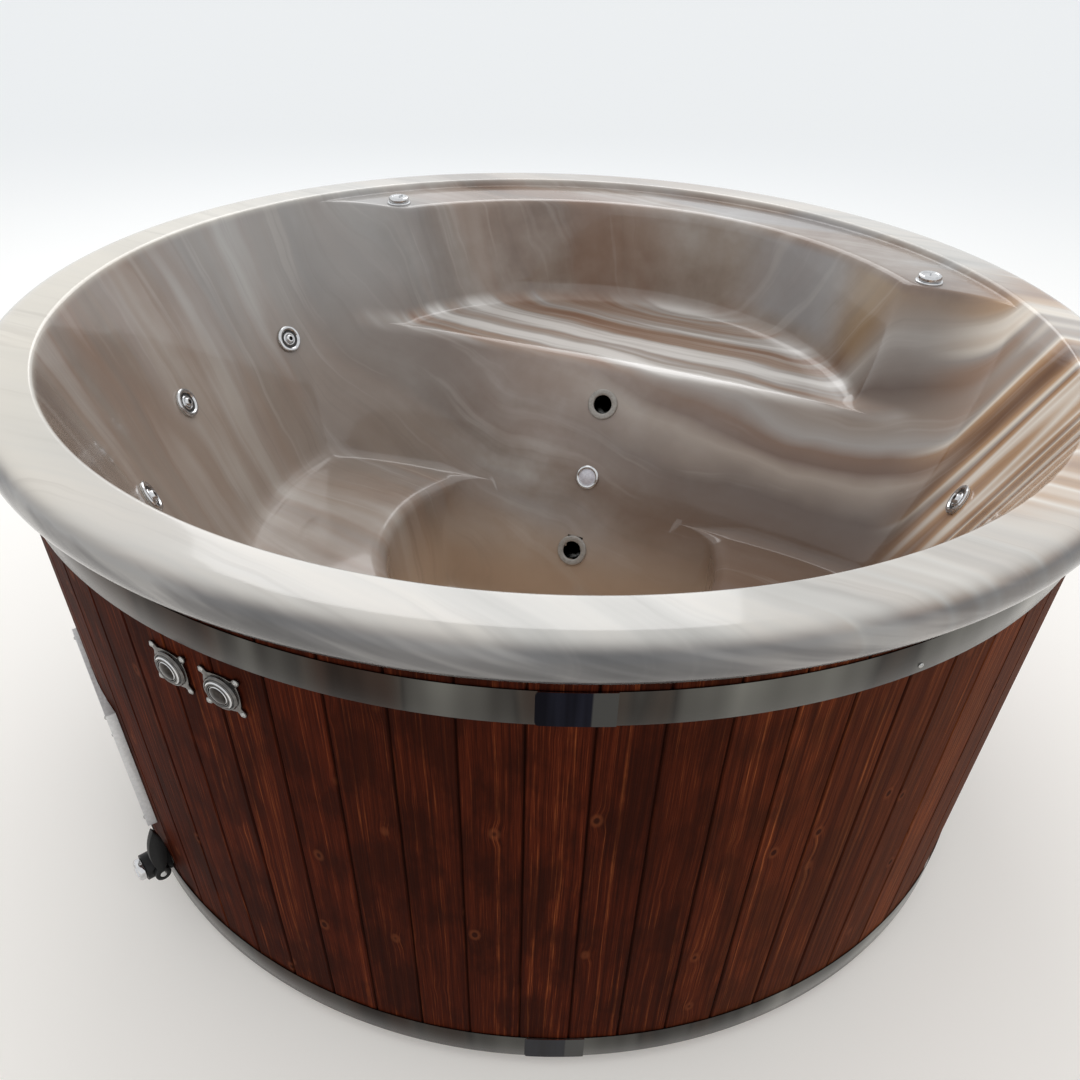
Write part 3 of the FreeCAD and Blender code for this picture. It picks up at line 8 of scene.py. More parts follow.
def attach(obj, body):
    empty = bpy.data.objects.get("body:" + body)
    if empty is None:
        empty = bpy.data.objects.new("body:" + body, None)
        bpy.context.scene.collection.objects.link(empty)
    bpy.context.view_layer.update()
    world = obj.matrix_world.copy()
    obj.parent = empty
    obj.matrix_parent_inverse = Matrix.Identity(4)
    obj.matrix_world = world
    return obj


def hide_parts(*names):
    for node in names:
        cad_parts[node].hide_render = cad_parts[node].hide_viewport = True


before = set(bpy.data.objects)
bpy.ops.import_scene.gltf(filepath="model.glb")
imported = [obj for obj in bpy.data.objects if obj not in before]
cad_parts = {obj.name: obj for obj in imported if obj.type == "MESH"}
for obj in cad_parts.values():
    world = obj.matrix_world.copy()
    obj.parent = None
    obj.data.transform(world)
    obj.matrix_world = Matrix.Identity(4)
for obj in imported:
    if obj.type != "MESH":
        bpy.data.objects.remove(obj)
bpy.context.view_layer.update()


# Base of the tub: bearers on the ground, a round board on them, and posts under both seat levels.
# Sawn spruce, left untreated because the cladding hides it. The board is fixed to the bearers, and the
# shell stands on the posts.
class Signal:
    """A socket in a material; arithmetic on it adds the nodes that work it out."""

    def __init__(self, socket):
        self.socket = socket

    def node(self, kind, settings, links, output=None):
        """Adds a node: its settings first, then a value or a link for each named or numbered socket."""
        tree = self.socket.node.id_data
        made = tree.nodes.new("ShaderNode" + kind)
        for name, value in settings.items():
            if name == "stops":
                stops = made.color_ramp.elements
                stops[0].position, stops[0].color = value[0][0], (*value[0][1], 1.0)
                stops[1].position, stops[1].color = value[-1][0], (*value[-1][1], 1.0)
                for position, colour in value[1:-1]:
                    stops.new(position).color = (*colour, 1.0)
            else:
                setattr(made, name, value)
        for name, value in links.items():
            if isinstance(name, int):
                entry = made.inputs[name]
            else:
                entry = next(entry for entry in made.inputs if entry.enabled and entry.name == name)
            if isinstance(value, Signal):
                tree.links.new(value.socket, entry)
            else:
                entry.default_value = value
        exits = [leaving for leaving in made.outputs if leaving.enabled and output in (None, leaving.name)]
        return Signal(exits[0])

    def maths(self, operation, *values):
        return self.node("Math", {"operation": operation}, dict(enumerate(values)))

    def __add__(self, other):
        return self.maths("ADD", self, other)

    def __radd__(self, other):
        return self.maths("ADD", other, self)

    def __sub__(self, other):
        return self.maths("SUBTRACT", self, other)

    def __rsub__(self, other):
        return self.maths("SUBTRACT", other, self)

    def __mul__(self, other):
        return self.maths("MULTIPLY", self, other)

    def __rmul__(self, other):
        return self.maths("MULTIPLY", other, self)

    def __pow__(self, other):
        return self.maths("POWER", self, other)

    def parts(self):
        """The three numbers of a position."""
        return [self.node("SeparateXYZ", {}, {"Vector": self}, axis) for axis in "XYZ"]

    def point(self, x, y, z):
        """A position made of three numbers."""
        return self.node("CombineXYZ", {}, {"X": x, "Y": y, "Z": z})

    def noise(self, scale, detail=2.0, rough=0.5, twist=0.0):
        """Cloudy values from 0 to 1 at this position."""
        return self.node("TexNoise", {}, {
            "Vector": self, "Scale": scale, "Detail": detail, "Roughness": rough, "Distortion": twist,
        })

    def rises(self, low, high):
        """From 0 at low to 1 at high, with soft ends."""
        return self.node("MapRange", {"interpolation_type": "SMOOTHSTEP"}, {
            "Value": self, "From Min": low, "From Max": high,
        })

    def between(self, low, high):
        """Mixes two colours by this value."""
        low, high = ((*colour, 1.0) if isinstance(colour, tuple) else colour for colour in (low, high))
        return self.node("Mix", {"data_type": "RGBA"}, {"Factor": self, "A": low, "B": high})

    def ramp(self, *stops):
        """Colours from stops of (value, colour)."""
        return self.node("ValToRGB", {"stops": stops}, {"Fac": self}, "Color")

    def into(self, shader, name):
        shader.id_data.links.new(self.socket, shader.inputs[name])

    def bump(self, shader, depth, strength=1.0):
        """Raises the surface by this value."""
        raised = self.node("Bump", {}, {"Strength": strength, "Distance": depth, "Height": self})
        raised.into(shader, "Normal")


def shade(red, green, blue):
    """A colour as seen on screen, in the shader's own linear measure."""
    def linear(level):
        level /= 255.0
        return level / 12.92 if level <= 0.04045 else ((level + 0.055) / 1.055) ** 2.4
    return linear(red), linear(green), linear(blue)


def new_finish(name, rough, metal=0.0):
    """A material, its surface shader, and the position on the piece."""
    material = bpy.data.materials.new(name)
    material.use_nodes = True
    shader = material.node_tree.nodes["Principled BSDF"]
    shader.inputs["Roughness"].default_value = rough
    shader.inputs["Metallic"].default_value = metal
    place = Signal(material.node_tree.nodes.new("ShaderNodeTexCoord").outputs["Object"])
    return material, shader, place


def coat(material, *nodes):
    """Gives pieces of the frame their material."""
    for node in nodes:
        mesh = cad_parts[node].data
        mesh.materials.clear()
        mesh.materials.append(material)


sawn_spruce, spruce_shader, place = new_finish("sawn_spruce", 0.8)
x, y, z = place.parts()
fibre = place.point(x * 3.0, y * 40.0, z * 40.0).noise(1.0, 6.0, 0.6, 0.4)
fibre.ramp(
    (0.25, shade(150, 108, 66)), (0.5, shade(196, 156, 104)), (0.75, shade(222, 190, 140)),
).into(spruce_shader, "Base Color")
fibre.bump(spruce_shader, 0.0006)
coat(sawn_spruce, "base_beams", "base_board", "support_posts")


# Insulation between the pipes and the staves: a pale needled mat of felted fibre.
# It is laid round as one wrap before the boards go on, and they hide it.
needled_mat, mat_shader, place = new_finish("needled_mat", 0.95)
fluff = place.noise(180.0, 4.0, 0.7)
fluff.ramp((0.3, shade(150, 142, 122)), (0.7, shade(206, 198, 174))).into(mat_shader, "Base Color")
fluff.bump(mat_shader, 0.003)
coat(needled_mat, "insulation_wrap")


# Water and air pipes behind the shell: rigid white plastic tube, glued at its joints.
# They feed the jets, carry the drain to the valve, and hold the suction fitting to the wall.
# Two thin clear tubes carry the push of the buttons to the control box.
white_pipe, pipe_shader, place = new_finish("white_pipe", 0.38)
bloom = place.noise(14.0, 3.0, 0.6)
bloom.ramp((0.3, shade(214, 214, 208)), (0.7, shade(234, 234, 230))).into(pipe_shader, "Base Color")
place.noise(300.0, 2.0).bump(pipe_shader, 0.0002)
coat(white_pipe, "jet_bodies", "water_ring", "air_ring", "lamp_body")
coat(white_pipe, "drain_pipe", "suction_fitting", "pressure_pipe")

clear_tube, tube_shader, place = new_finish("clear_tube", 0.3)
cloudiness = place.noise(60.0, 2.0)
cloudiness.ramp((0.3, shade(196, 204, 200)), (0.7, shade(216, 222, 218))).into(tube_shader, "Base Color")
coat(clear_tube, "air_tubes")


# Pump and its control box on the base board: glass-filled black wet end, painted motor case and a
# grey moulded box. The pump stands on a foot that is fixed to the board.
moulded_black, black_shader, place = new_finish("moulded_black", 0.45)
pores = place.noise(420.0, 3.0, 0.6)
pores.ramp((0.3, shade(11, 11, 12)), (0.7, shade(24, 24, 25))).into(black_shader, "Base Color")
black_shader.inputs["Specular IOR Level"].default_value = 0.3
pores.bump(black_shader, 0.0003)
coat(moulded_black, "pump_volute", "pump_impeller")

motor_paint, motor_shader, place = new_finish("motor_paint", 0.42)
pebble = place.noise(260.0, 3.0, 0.5)
pebble.ramp((0.3, shade(70, 76, 84)), (0.7, shade(90, 97, 106))).into(motor_shader, "Base Color")
pebble.bump(motor_shader, 0.0005)
coat(motor_paint, "pump_motor")

box_plastic, box_shader, place = new_finish("box_plastic", 0.55)
texture = place.noise(700.0, 2.0)
texture.ramp((0.3, shade(132, 134, 136)), (0.7, shade(150, 152, 154))).into(box_shader, "Base Color")
texture.bump(box_shader, 0.0003)
coat(box_plastic, "control_box")


# Bathing shell: one sheet of marbled acrylic, drawn hot into a mould and stiffened behind with laminate.
# Low seats, raised seat, shelf and rolled rim are one surface, and its rim hangs over the staves.
# The marbling flows across the flat sheet, so it bends where the mould does.
rim_z, shelf_z, raised_z, seat_z, floor_z = 0.963, 0.948, 0.712, 0.430, 0.150
rim_reach, roll_reach, roll_z = 0.900, 0.962, 0.929
roll_outside, roll_inside = 0.034, 0.028
roll_sweep, lip_start, lip_sweep = 130.3, -51.8, 141.8
lip_reach, lip_z = 0.930, 0.957
backrest_slope = 0.488
seat_azimuth = math.radians(68.5)
front_reach, front_slope, front_foot = 0.462, 0.52, 0.120
footwell_reach, footwell_slope = 0.350, 0.10
sweep_room, sweep_loss, sweep_z = 0.34, 0.24, 0.60
hollow_centre, hollow_shift = 0.168, 0.143
hollow_reach, hollow_lean = 0.557, 0.175
foot_room, footwell_room, ear_room = 0.02, 0.06, 0.035
least_cosine = 0.04


def soft_least(one, other, room):
    """The lesser of two lengths, with the crease between them rounded off over some room."""
    near = max(room - abs(one - other), 0.0) / room
    return min(one, other) - near * near * room / 4.0


def back_wall(height, turn):
    """Leaning backrest, the same at every turn."""
    return rim_reach - backrest_slope * (rim_z - height)


def seat_front(height, turn):
    """Sloping front of the raised seat, upright at the foot."""
    ahead = -soft_least(-front_foot, front_slope * (shelf_z - height) - front_reach, foot_room)
    return ahead / max(math.cos(turn), least_cosine)


def foot_wall(height, turn):
    """Wall of the footwell, cut short by the front of the raised seat."""
    round_wall = footwell_reach - footwell_slope * (seat_z - height)
    return soft_least(round_wall, seat_front(height, turn), footwell_room)


def low_wall(height, turn):
    """Backrest all round, running into the front of the raised seat in a wide sweep."""
    sweep = sweep_room - sweep_loss * max(height - sweep_z, 0.0) / (shelf_z - sweep_z)
    return soft_least(back_wall(height, turn), seat_front(height, turn), sweep)


def high_wall(height, turn):
    """Backrest of the raised seat: a leaning round hollow between the two ears."""
    share = (height - raised_z) / (shelf_z - raised_z)
    centre, reach = hollow_centre - hollow_shift * share, hollow_reach + hollow_lean * share
    hollow = centre * math.cos(turn) + math.sqrt(reach ** 2 - (centre * math.sin(turn)) ** 2)
    return -soft_least(-low_wall(height, turn), -hollow, ear_room)


def shell_section(turn):
    """Wet surface from the drain to the rim, as (reach, height) points at a turn from the raised seat."""
    walls = [None, foot_wall, None, low_wall, None, high_wall, None, back_wall, None]
    levels = [floor_z, seat_z, seat_z, raised_z, raised_z, shelf_z, shelf_z, rim_z]
    sides = [foot_wall, foot_wall, low_wall, low_wall, high_wall, high_wall, back_wall, back_wall]
    radii = [0.040, 0.035, 0.060, 0.045, 0.050, 0.020, 0.006, 0.010]
    steps = [8, 10, 10, 24, 12, 18, 10, 2, 5]
    ends = [Vector((0.0, floor_z))] + [Vector((side(at, turn), at)) for side, at in zip(sides, levels)]
    ends.append(Vector((roll_reach, rim_z)))
    slopes = []
    for number, wall in enumerate(walls):
        low, high = ends[number], ends[number + 1]
        if wall is None:
            slopes.append((Vector((1.0, 0.0)), Vector((1.0, 0.0))))
        else:
            bit = 0.002
            start = Vector((wall(low.y + bit, turn) - low.x, bit)).normalized()
            stop = Vector((high.x - wall(high.y - bit, turn), bit)).normalized()
            slopes.append((start, stop))
    lengths = [(high - low).length for low, high in zip(ends, ends[1:])]
    trims = [0.0]
    for number, radius in enumerate(radii):
        bend = slopes[number][1].angle(slopes[number + 1][0])
        trims.append(min(radius * math.tan(bend / 2.0), 0.5 * lengths[number], 0.5 * lengths[number + 1]))
    trims.append(0.0)
    points = []
    for number, wall in enumerate(walls):
        start = ends[number] + slopes[number][0] * trims[number]
        stop = ends[number + 1] - slopes[number][1] * trims[number + 1]
        for step in range(1, steps[number]):
            spot = start.lerp(stop, step / steps[number])
            points.append(spot if wall is None else Vector((wall(spot.y, turn), spot.y)))
        if number < len(radii):
            corner = ends[number + 1]
            leave = corner + slopes[number + 1][0] * trims[number + 1]
            for step in range(8):
                share = step / 7.0
                points.append(stop.lerp(corner, share).lerp(corner.lerp(leave, share), share))
    outside = [(roll_outside, 90.0 - roll_sweep * step / 12.0) for step in range(13)]
    inside = [(roll_inside, lip_start + lip_sweep * step / 4.0) for step in range(5)]
    for radius, degrees in outside + inside:
        angle = math.radians(degrees)
        points.append(Vector((roll_reach + radius * math.cos(angle), roll_z + radius * math.sin(angle))))
    points.append(Vector((lip_reach, lip_z)))
    return points


def polar(reach, azimuth, height):
    """A point by its reach from the tub's axis, its azimuth and its height."""
    return Vector((reach * math.cos(azimuth), reach * math.sin(azimuth), height))


def facing(origin, normal, across):
    """Placement with its Z along the normal and its X across."""
    axes = Matrix((across, normal.cross(across), normal)).transposed().to_4x4()
    return Matrix.Translation(origin) @ axes


jet_count, jet_z, jet_first, jet_last = 8, 0.693, 145.2, 344.2
port_heights = (0.629, 0.328)
jet_opening, port_opening, opening_depth = 0.019, 0.027, 0.03


def jet_place(number):
    """Where a jet sits on the backrest, looking into the water."""
    azimuth = math.radians(jet_first + (jet_last - jet_first) * number / (jet_count - 1.0))
    lean = math.atan(backrest_slope)
    origin = polar(back_wall(jet_z, 0.0), azimuth, jet_z)
    normal = polar(-math.cos(lean), azimuth, math.sin(lean))
    return facing(origin, normal, polar(1.0, azimuth + math.pi / 2, 0.0))


def front_place(height):
    """A place on the middle line of the raised seat's front, looking into the water."""
    lean = math.atan(front_slope)
    origin = polar(front_reach - front_slope * (shelf_z - height), seat_azimuth, height)
    normal = polar(-math.cos(lean), seat_azimuth, math.sin(lean))
    return facing(origin, normal, polar(1.0, seat_azimuth + math.pi / 2, 0.0))


def new_piece(name, shape, materials, body, slot, *nodes, sharp=30.0):
    """Makes a shape into a piece that rides on a body and stands for nodes of the frame."""
    mesh = bpy.data.meshes.new(name)
    shape.to_mesh(mesh)
    shape.free()
    for material in materials:
        mesh.materials.append(material)
    mesh.shade_smooth()
    mesh.set_sharp_from_angle(angle=math.radians(sharp))
    piece = bpy.data.objects.new(name, mesh)
    bpy.context.scene.collection.objects.link(piece)
    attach(piece, body)
    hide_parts(*nodes)


columns = 480
sections = [shell_section(math.tau * column / columns - seat_azimuth) for column in range(columns)]
skin = bmesh.new()
row = [skin.verts.new((station + 1.0, 0.0, 0.0)) for station in range(len(sections[0]))]
spokes = [skin.edges.new(pair) for pair in zip(row, row[1:])]
bmesh.ops.spin(
    skin, geom=row + spokes, cent=(0.0, 0.0, 0.0), axis=(0.0, 0.0, 1.0), angle=math.tau, steps=columns,
    use_merge=True,
)
for vertex in skin.verts:
    azimuth = math.atan2(vertex.co.y, vertex.co.x)
    column = round(azimuth / math.tau * columns) % columns
    reach, height = sections[column][round(vertex.co.xy.length) - 1]
    vertex.co = polar(reach, math.tau * column / columns, height)
middle_ring = [edge for edge in skin.edges if edge.is_boundary and edge.verts[0].co.z < floor_z + 0.01]
bmesh.ops.contextual_create(skin, geom=middle_ring)
bmesh.ops.remove_doubles(skin, verts=skin.verts, dist=0.00008)
bmesh.ops.dissolve_degenerate(skin, dist=0.00002, edges=skin.edges)
openings = [(jet_place(number), jet_opening) for number in range(jet_count)]
openings += [(front_place(height), port_opening) for height in port_heights]
holes = []
for mouth, width in openings:
    inward = mouth.inverted()
    for face in skin.faces:
        spot = inward @ face.calc_center_median()
        if abs(spot.z) < opening_depth and spot.xy.length < width:
            holes.append(face)
bmesh.ops.delete(skin, geom=holes, context="FACES")
bmesh.ops.recalc_face_normals(skin, faces=skin.faces)
lowest = min(skin.faces, key=lambda face: face.calc_center_median().xy.length)
if lowest.normal.z < 0.0:
    bmesh.ops.reverse_faces(skin, faces=skin.faces)

marbled_acrylic, acrylic_shader, place = new_finish("marbled_acrylic", 0.16)
x, y, z = place.parts()
flow_x, flow_y = 0.883, 0.469
along = x * flow_x - y * flow_y
sheet = x * flow_y + y * flow_x
reach = (x * x + y * y) ** 0.5
seat_ahead = x * math.cos(seat_azimuth) + y * math.sin(seat_azimuth)
drift, curl = place.noise(0.9, 2.0), place.noise(3.4, 3.0)
across = sheet + z * 0.05 + (drift - 0.5) * 0.26 + (curl - 0.5) * 0.06
straight = sheet + (drift - 0.5) * 0.05
smoke = place.point(along * 0.8, across * 4.4, z * 0.9).noise(1.0, 5.0, 0.58)
blotch = place.noise(6.0, 4.0, 0.6)
veil = place.point(along * 0.7 + 6.3, across * 6.0, z * 0.9).noise(1.0, 3.0, 0.55)
threads = place.point(along * 1.6, across * 40.0, z * 1.6).noise(1.0, 3.0, 0.6)
ribbons = place.point(along * 0.25, straight * 7.0, z * 0.3).noise(1.0, 1.8, 0.5)
wisps = place.point(along * 0.6, across * 12.0, z * 0.4).noise(1.0, 3.0, 0.6)

# Smoky clouds all over, browner and greyer in turn, with soft streaks down the left wall.
clouds = (smoke * 0.66 + blotch * 0.34).ramp(
    (0.36, shade(98, 80, 69)), (0.45, shade(128, 111, 99)), (0.52, shade(146, 134, 124)),
    (0.59, shade(164, 156, 149)), (0.68, shade(190, 187, 183)),
)
browned = (veil.rises(0.51, 0.66) * 0.46).between(clouds, shade(132, 101, 82))
greyed = ((1.0 - veil.rises(0.34, 0.47)) * 0.5).between(browned, shade(152, 156, 160))
streaks = place.point(along * 0.6 + 3.1, across * 5.5, z * 0.7).noise(1.0, 3.0, 0.5)
streak_tone = streaks.ramp(
    (0.36, shade(74, 60, 51)), (0.44, shade(106, 88, 76)), (0.51, shade(128, 116, 106)),
    (0.57, shade(136, 113, 97)), (0.66, shade(186, 180, 173)),
)
streaked = ((1.0 - x.rises(-0.34, 0.02)) * 0.62).between(greyed, streak_tone)

# Bands that trail across the seat's front and turn into bold ribbons up the right wall.
trails = straight + (curl - 0.5) * 0.05 + (ribbons - 0.5) * 0.12
trail_tone = trails.ramp(
    (0.10, shade(112, 87, 70)), (0.22, shade(104, 78, 60)), (0.262, shade(68, 45, 32)),
    (0.288, shade(176, 163, 150)), (0.308, shade(98, 66, 44)), (0.332, shade(118, 86, 63)),
    (0.354, shade(168, 165, 162)), (0.385, shade(138, 124, 112)), (0.43, shade(74, 51, 36)),
    (0.48, shade(152, 147, 142)), (0.54, shade(100, 72, 52)), (0.60, shade(156, 144, 132)),
)
trailing = along.rises(-0.35, 0.42) * (1.0 - z.rises(0.90, 0.95)) * (1.0 - 0.6 * seat_ahead.rises(0.42, 0.55))
trailed = (trailing * 0.86).between(streaked, trail_tone)
stripes = ribbons.ramp(
    (0.34, shade(104, 70, 46)), (0.42, shade(158, 119, 85)), (0.465, shade(190, 155, 120)),
    (0.49, shade(236, 226, 212)), (0.515, shade(164, 154, 146)), (0.55, shade(152, 112, 80)),
    (0.60, shade(188, 152, 118)), (0.63, shade(236, 228, 217)), (0.66, shade(188, 152, 118)),
    (0.72, shade(146, 106, 75)),
)
striped = along.rises(0.58, 0.78)
marble = striped.between(trailed, stripes)

# Tones of single places: warm low front darkened as painted shade, pale low left, misty left rear, cool and
# ochre recess, and a footwell painted lighter against its shade.
# Painted shade: the low front half is darkened to a warm brown, as the interior darkens towards the bottom.
low_front_shade = (1.0 - z.rises(0.44, 0.72)) * x.rises(-0.05, 0.35) * (1.0 - striped * 0.6)
front_shaded = (low_front_shade * 0.34).between(marble, shade(108, 84, 66))
low_side = (1.0 - z.rises(0.44, 0.94)) * (1.0 - x.rises(-0.55, -0.10))
paled = (low_side * (0.58 - 0.20 * x.rises(-0.82, -0.58))).between(front_shaded, shade(178, 164, 152))
rear_side = (1.0 - x.rises(-0.50, -0.20)) * y.rises(0.15, 0.45) * z.rises(0.58, 0.84)
misted = (rear_side * 0.48).between(paled, shade(176, 178, 178))
recess = seat_ahead.rises(0.40, 0.52) * z.rises(0.73, 0.79) * (1.0 - z.rises(0.92, 0.945))
cool_part = recess * along.rises(0.06, 0.22) * (1.0 - along.rises(0.32, 0.42))
cooled = (cool_part * 0.5).between(misted, shade(152, 158, 164))
ochred = (recess * along.rises(0.36, 0.46) * 0.55).between(cooled, shade(162, 138, 104))
# Painted light: the footwell is lightened to a pale brown, against the shade that falls in it.
footwell = (1.0 - z.rises(0.20, 0.44)) * 0.7
footwell_painted_light = footwell.between(ochred, shade(220, 195, 170))

# Pale wisps on the raised seat: real streaks on a flat top painted paler, a painted highlight from above.
seat_top = z.rises(0.690, 0.711) * (1.0 - z.rises(0.716, 0.745))
raised = seat_ahead.rises(0.29, 0.35) * seat_top * (1.0 - reach.rises(0.70, 0.745))
seat_streaks_and_sheen = wisps.ramp(
    (0.36, shade(130, 94, 72)), (0.45, shade(156, 134, 118)), (0.53, shade(172, 165, 159)),
    (0.63, shade(226, 223, 219)),
)
lifted = (raised * 0.8).between(footwell_painted_light, seat_streaks_and_sheen)

# Rim top painted pale as a reflection of the sky, creamier at the left and fainter at the rear and the
# striped outer right; grey strokes on the roll, with the roll painted darker as shade.
# Painted reflection: the rim's top is mixed towards pale cream, less so at the rear and the outer right.
outer_side = y.rises(-0.73, -0.63) * striped
rear = y.rises(0.74, 0.92) * (1.0 - striped)
rim_sheen = z.rises(0.944, 0.962) * reach.rises(0.890, 0.905) * (0.88 - 0.66 * outer_side - 0.40 * rear)
rim_sheen_tone = wisps.ramp(
    (0.36, shade(184, 183, 179)), (0.50, shade(202, 200, 195)), (0.64, shade(214, 209, 201)),
)
creamed = ((1.0 - x.rises(-0.95, -0.45)) * 0.7).between(rim_sheen_tone, shade(228, 221, 205))
rim_sheened = rim_sheen.between(lifted, creamed)
# Painted shade: the roll is a darker grey than the top, as its face turns down, over real grey strokes.
rolled = reach.rises(0.958, 0.972) * (1.0 - z.rises(0.947, 0.9625))
strokes = place.point(x * 6.0 + z * 22.0, y * 6.0, z * 6.0).noise(1.0, 3.0, 0.55)
roll_shade_tone = (strokes * 0.7 + veil * 0.3).ramp(
    (0.40, shade(74, 75, 77)), (0.50, shade(101, 101, 102)), (0.60, shade(150, 149, 147)),
)
roll_shaded = (rolled * 0.92).between(rim_sheened, roll_shade_tone)

# Fine dark and light threads over everything, faint on the roll.
fineness = 0.16 - 0.13 * rolled
darkened = ((1.0 - threads.rises(0.28, 0.46)) * fineness).between(roll_shaded, shade(100, 86, 77))
threaded = (threads.rises(0.55, 0.74) * fineness).between(darkened, shade(206, 201, 195))
threaded.into(acrylic_shader, "Base Color")
(0.12 + 0.12 * threads).into(acrylic_shader, "Roughness")
acrylic_shader.inputs["Coat Weight"].default_value = 0.5
acrylic_shader.inputs["Coat Roughness"].default_value = 0.05
place.noise(34.0, 2.0).bump(acrylic_shader, 0.0006, 0.35)
new_piece("bathing_shell", skin, [marbled_acrylic], "tub", "shell", "tub_shell", sharp=60.0)


# Massage jets in the backrest: chrome face that turns to open the jet, with a swivelling nozzle ball in it.
# The face has a rolled rim and a dished ring painted dark as shade, and the ball has a through bore
# whose wall is painted dark as shade. Both are chromed plastic, snapped into a body that a lock nut holds
# to the shell.
bright_chrome, chrome_shader, place = new_finish("bright_chrome", 0.07, 1.0)
film = place.noise(90.0, 3.0, 0.6)
film.ramp((0.3, shade(196, 197, 199)), (0.7, shade(222, 223, 224))).into(chrome_shader, "Base Color")
(0.04 + 0.10 * film).into(chrome_shader, "Roughness")

# Dark grey for the jets' dished rings and bores and the buttons' grooves: painted shade in these recesses.
painted_recess_shade, recess_shade_shader, place = new_finish("painted_recess_shade", 0.35)
grit = place.noise(600.0, 2.0)
grit.ramp((0.3, shade(30, 30, 31)), (0.7, shade(58, 58, 58))).into(recess_shade_shader, "Base Color")


def turned(outline, steps=72, closed=True):
    """Turns an outline of (reach, height) points about Z."""
    shape = bmesh.new()
    spots = [shape.verts.new((reach, 0.0, height)) for reach, height in outline]
    lines = [shape.edges.new(pair) for pair in zip(spots, spots[1:])]
    if closed:
        lines.append(shape.edges.new((spots[-1], spots[0])))
    bmesh.ops.spin(
        shape, geom=spots + lines, cent=(0.0, 0.0, 0.0), axis=(0.0, 0.0, 1.0), angle=math.tau, steps=steps,
        use_merge=True,
    )
    bmesh.ops.remove_doubles(shape, verts=shape.verts, dist=0.000002)
    bmesh.ops.recalc_face_normals(shape, faces=shape.faces)
    return shape


def soften(shape, width, angle=28.0, segments=2):
    """Rounds every edge that bends by more than an angle."""
    limit = math.radians(angle)
    sharp = [edge for edge in shape.edges if edge.is_manifold and edge.calc_face_angle() > limit]
    bmesh.ops.bevel(
        shape, geom=sharp, offset=width, segments=segments, profile=0.5, affect="EDGES", material=-1,
        clamp_overlap=True,
    )


face_outline = [
    (0.0113, -0.0076), (0.0147, -0.0076), (0.0147, 0.0034), (0.0305, 0.0034), (0.0305, 0.0052),
    (0.0288, 0.0072), (0.0262, 0.0079), (0.0232, 0.0073), (0.0212, 0.0050), (0.0196, 0.0042),
    (0.0152, 0.0042), (0.0140, 0.0060), (0.0120, 0.0060), (0.0113, 0.0052),
]
dish_inner, dish_outer, dish_z = 0.0150, 0.0205, 0.0035
ball_round, ball_bore, ball_z = 0.011, 0.0045, 0.0034
ball_flat = ball_round * math.sqrt(0.5)
bead_angles = [math.radians(degrees) for degrees in range(-45, 46, 9)]
bead = [(ball_round * math.cos(a), ball_z + ball_round * math.sin(a)) for a in bead_angles]
ball_outline = [(ball_bore, ball_z - ball_flat)] + bead + [(ball_bore, ball_z + ball_flat)]
for number in range(jet_count):
    spot = jet_place(number)
    face = turned(face_outline)
    for part in face.faces:
        middle = part.calc_center_median()
        part.material_index = 1 if dish_inner < middle.xy.length < dish_outer and middle.z > dish_z else 0
    soften(face, 0.0004, 35.0)
    face.transform(spot)
    name = "jet_face_%d" % (number + 1)
    new_piece(name + "_chrome", face, [bright_chrome, painted_recess_shade], name, "chrome", name)
    ball = turned(ball_outline)
    for part in ball.faces:
        part.material_index = 1 if part.calc_center_median().xy.length < ball_bore + 0.0001 else 0
    soften(ball, 0.0004, 35.0)
    ball.transform(spot)
    name = "jet_nozzle_%d" % (number + 1)
    new_piece(name + "_chrome", ball, [bright_chrome, painted_recess_shade], name, "chrome", name)


# Air controls on the two ears of the shelf: a flange set through the shell, and a low cap that turns in it.
# Both are chromed plastic. The cap has a rolled edge, a dished top and one pointer rib, and its stem
# plugs into the flange.
def gather(store, shape, spot):
    """Adds a shape at its place to others that make one piece."""
    shape.transform(spot)
    copy = bpy.data.meshes.new("copy")
    shape.to_mesh(copy)
    shape.free()
    store.from_mesh(copy)
    bpy.data.meshes.remove(copy)


control_reach = 0.795
rib_size, rib_spot = (0.0160, 0.0030, 0.0036), (0.0105, 0.0, 0.0152)
controls = {"left": math.radians(119.5), "right": math.radians(17.5)}
flange_outline = [
    (0.0113, -0.080), (0.018, -0.080), (0.018, 0.0), (0.028, 0.0), (0.028, 0.0025), (0.0265, 0.004),
    (0.0113, 0.004),
]
knob_outline = [
    (0.0, -0.016), (0.011, -0.016), (0.011, 0.0043), (0.024, 0.0043), (0.024, 0.0118), (0.0228, 0.0145),
    (0.0205, 0.0160), (0.0175, 0.0158), (0.0155, 0.0143), (0.0, 0.0140),
]
flanges = bmesh.new()
for side, azimuth in controls.items():
    spot = Matrix.Translation(polar(control_reach, azimuth, shelf_z)) @ Matrix.Rotation(seat_azimuth, 4, "Z")
    flange = turned(flange_outline)
    soften(flange, 0.0005)
    gather(flanges, flange, spot)
    cap = turned(knob_outline, closed=False)
    soften(cap, 0.0005, 40.0)
    rib = bmesh.ops.create_cube(cap, size=1.0)["verts"]
    bmesh.ops.scale(cap, vec=rib_size, verts=rib)
    bmesh.ops.translate(cap, vec=rib_spot, verts=rib)
    cap.transform(spot)
    new_piece("air_cap_" + side, cap, [bright_chrome], "air_knob_" + side, "chrome", "air_knob_" + side)
new_piece("air_flanges", flanges, [bright_chrome], "tub", "chrome", "air_control_bases")


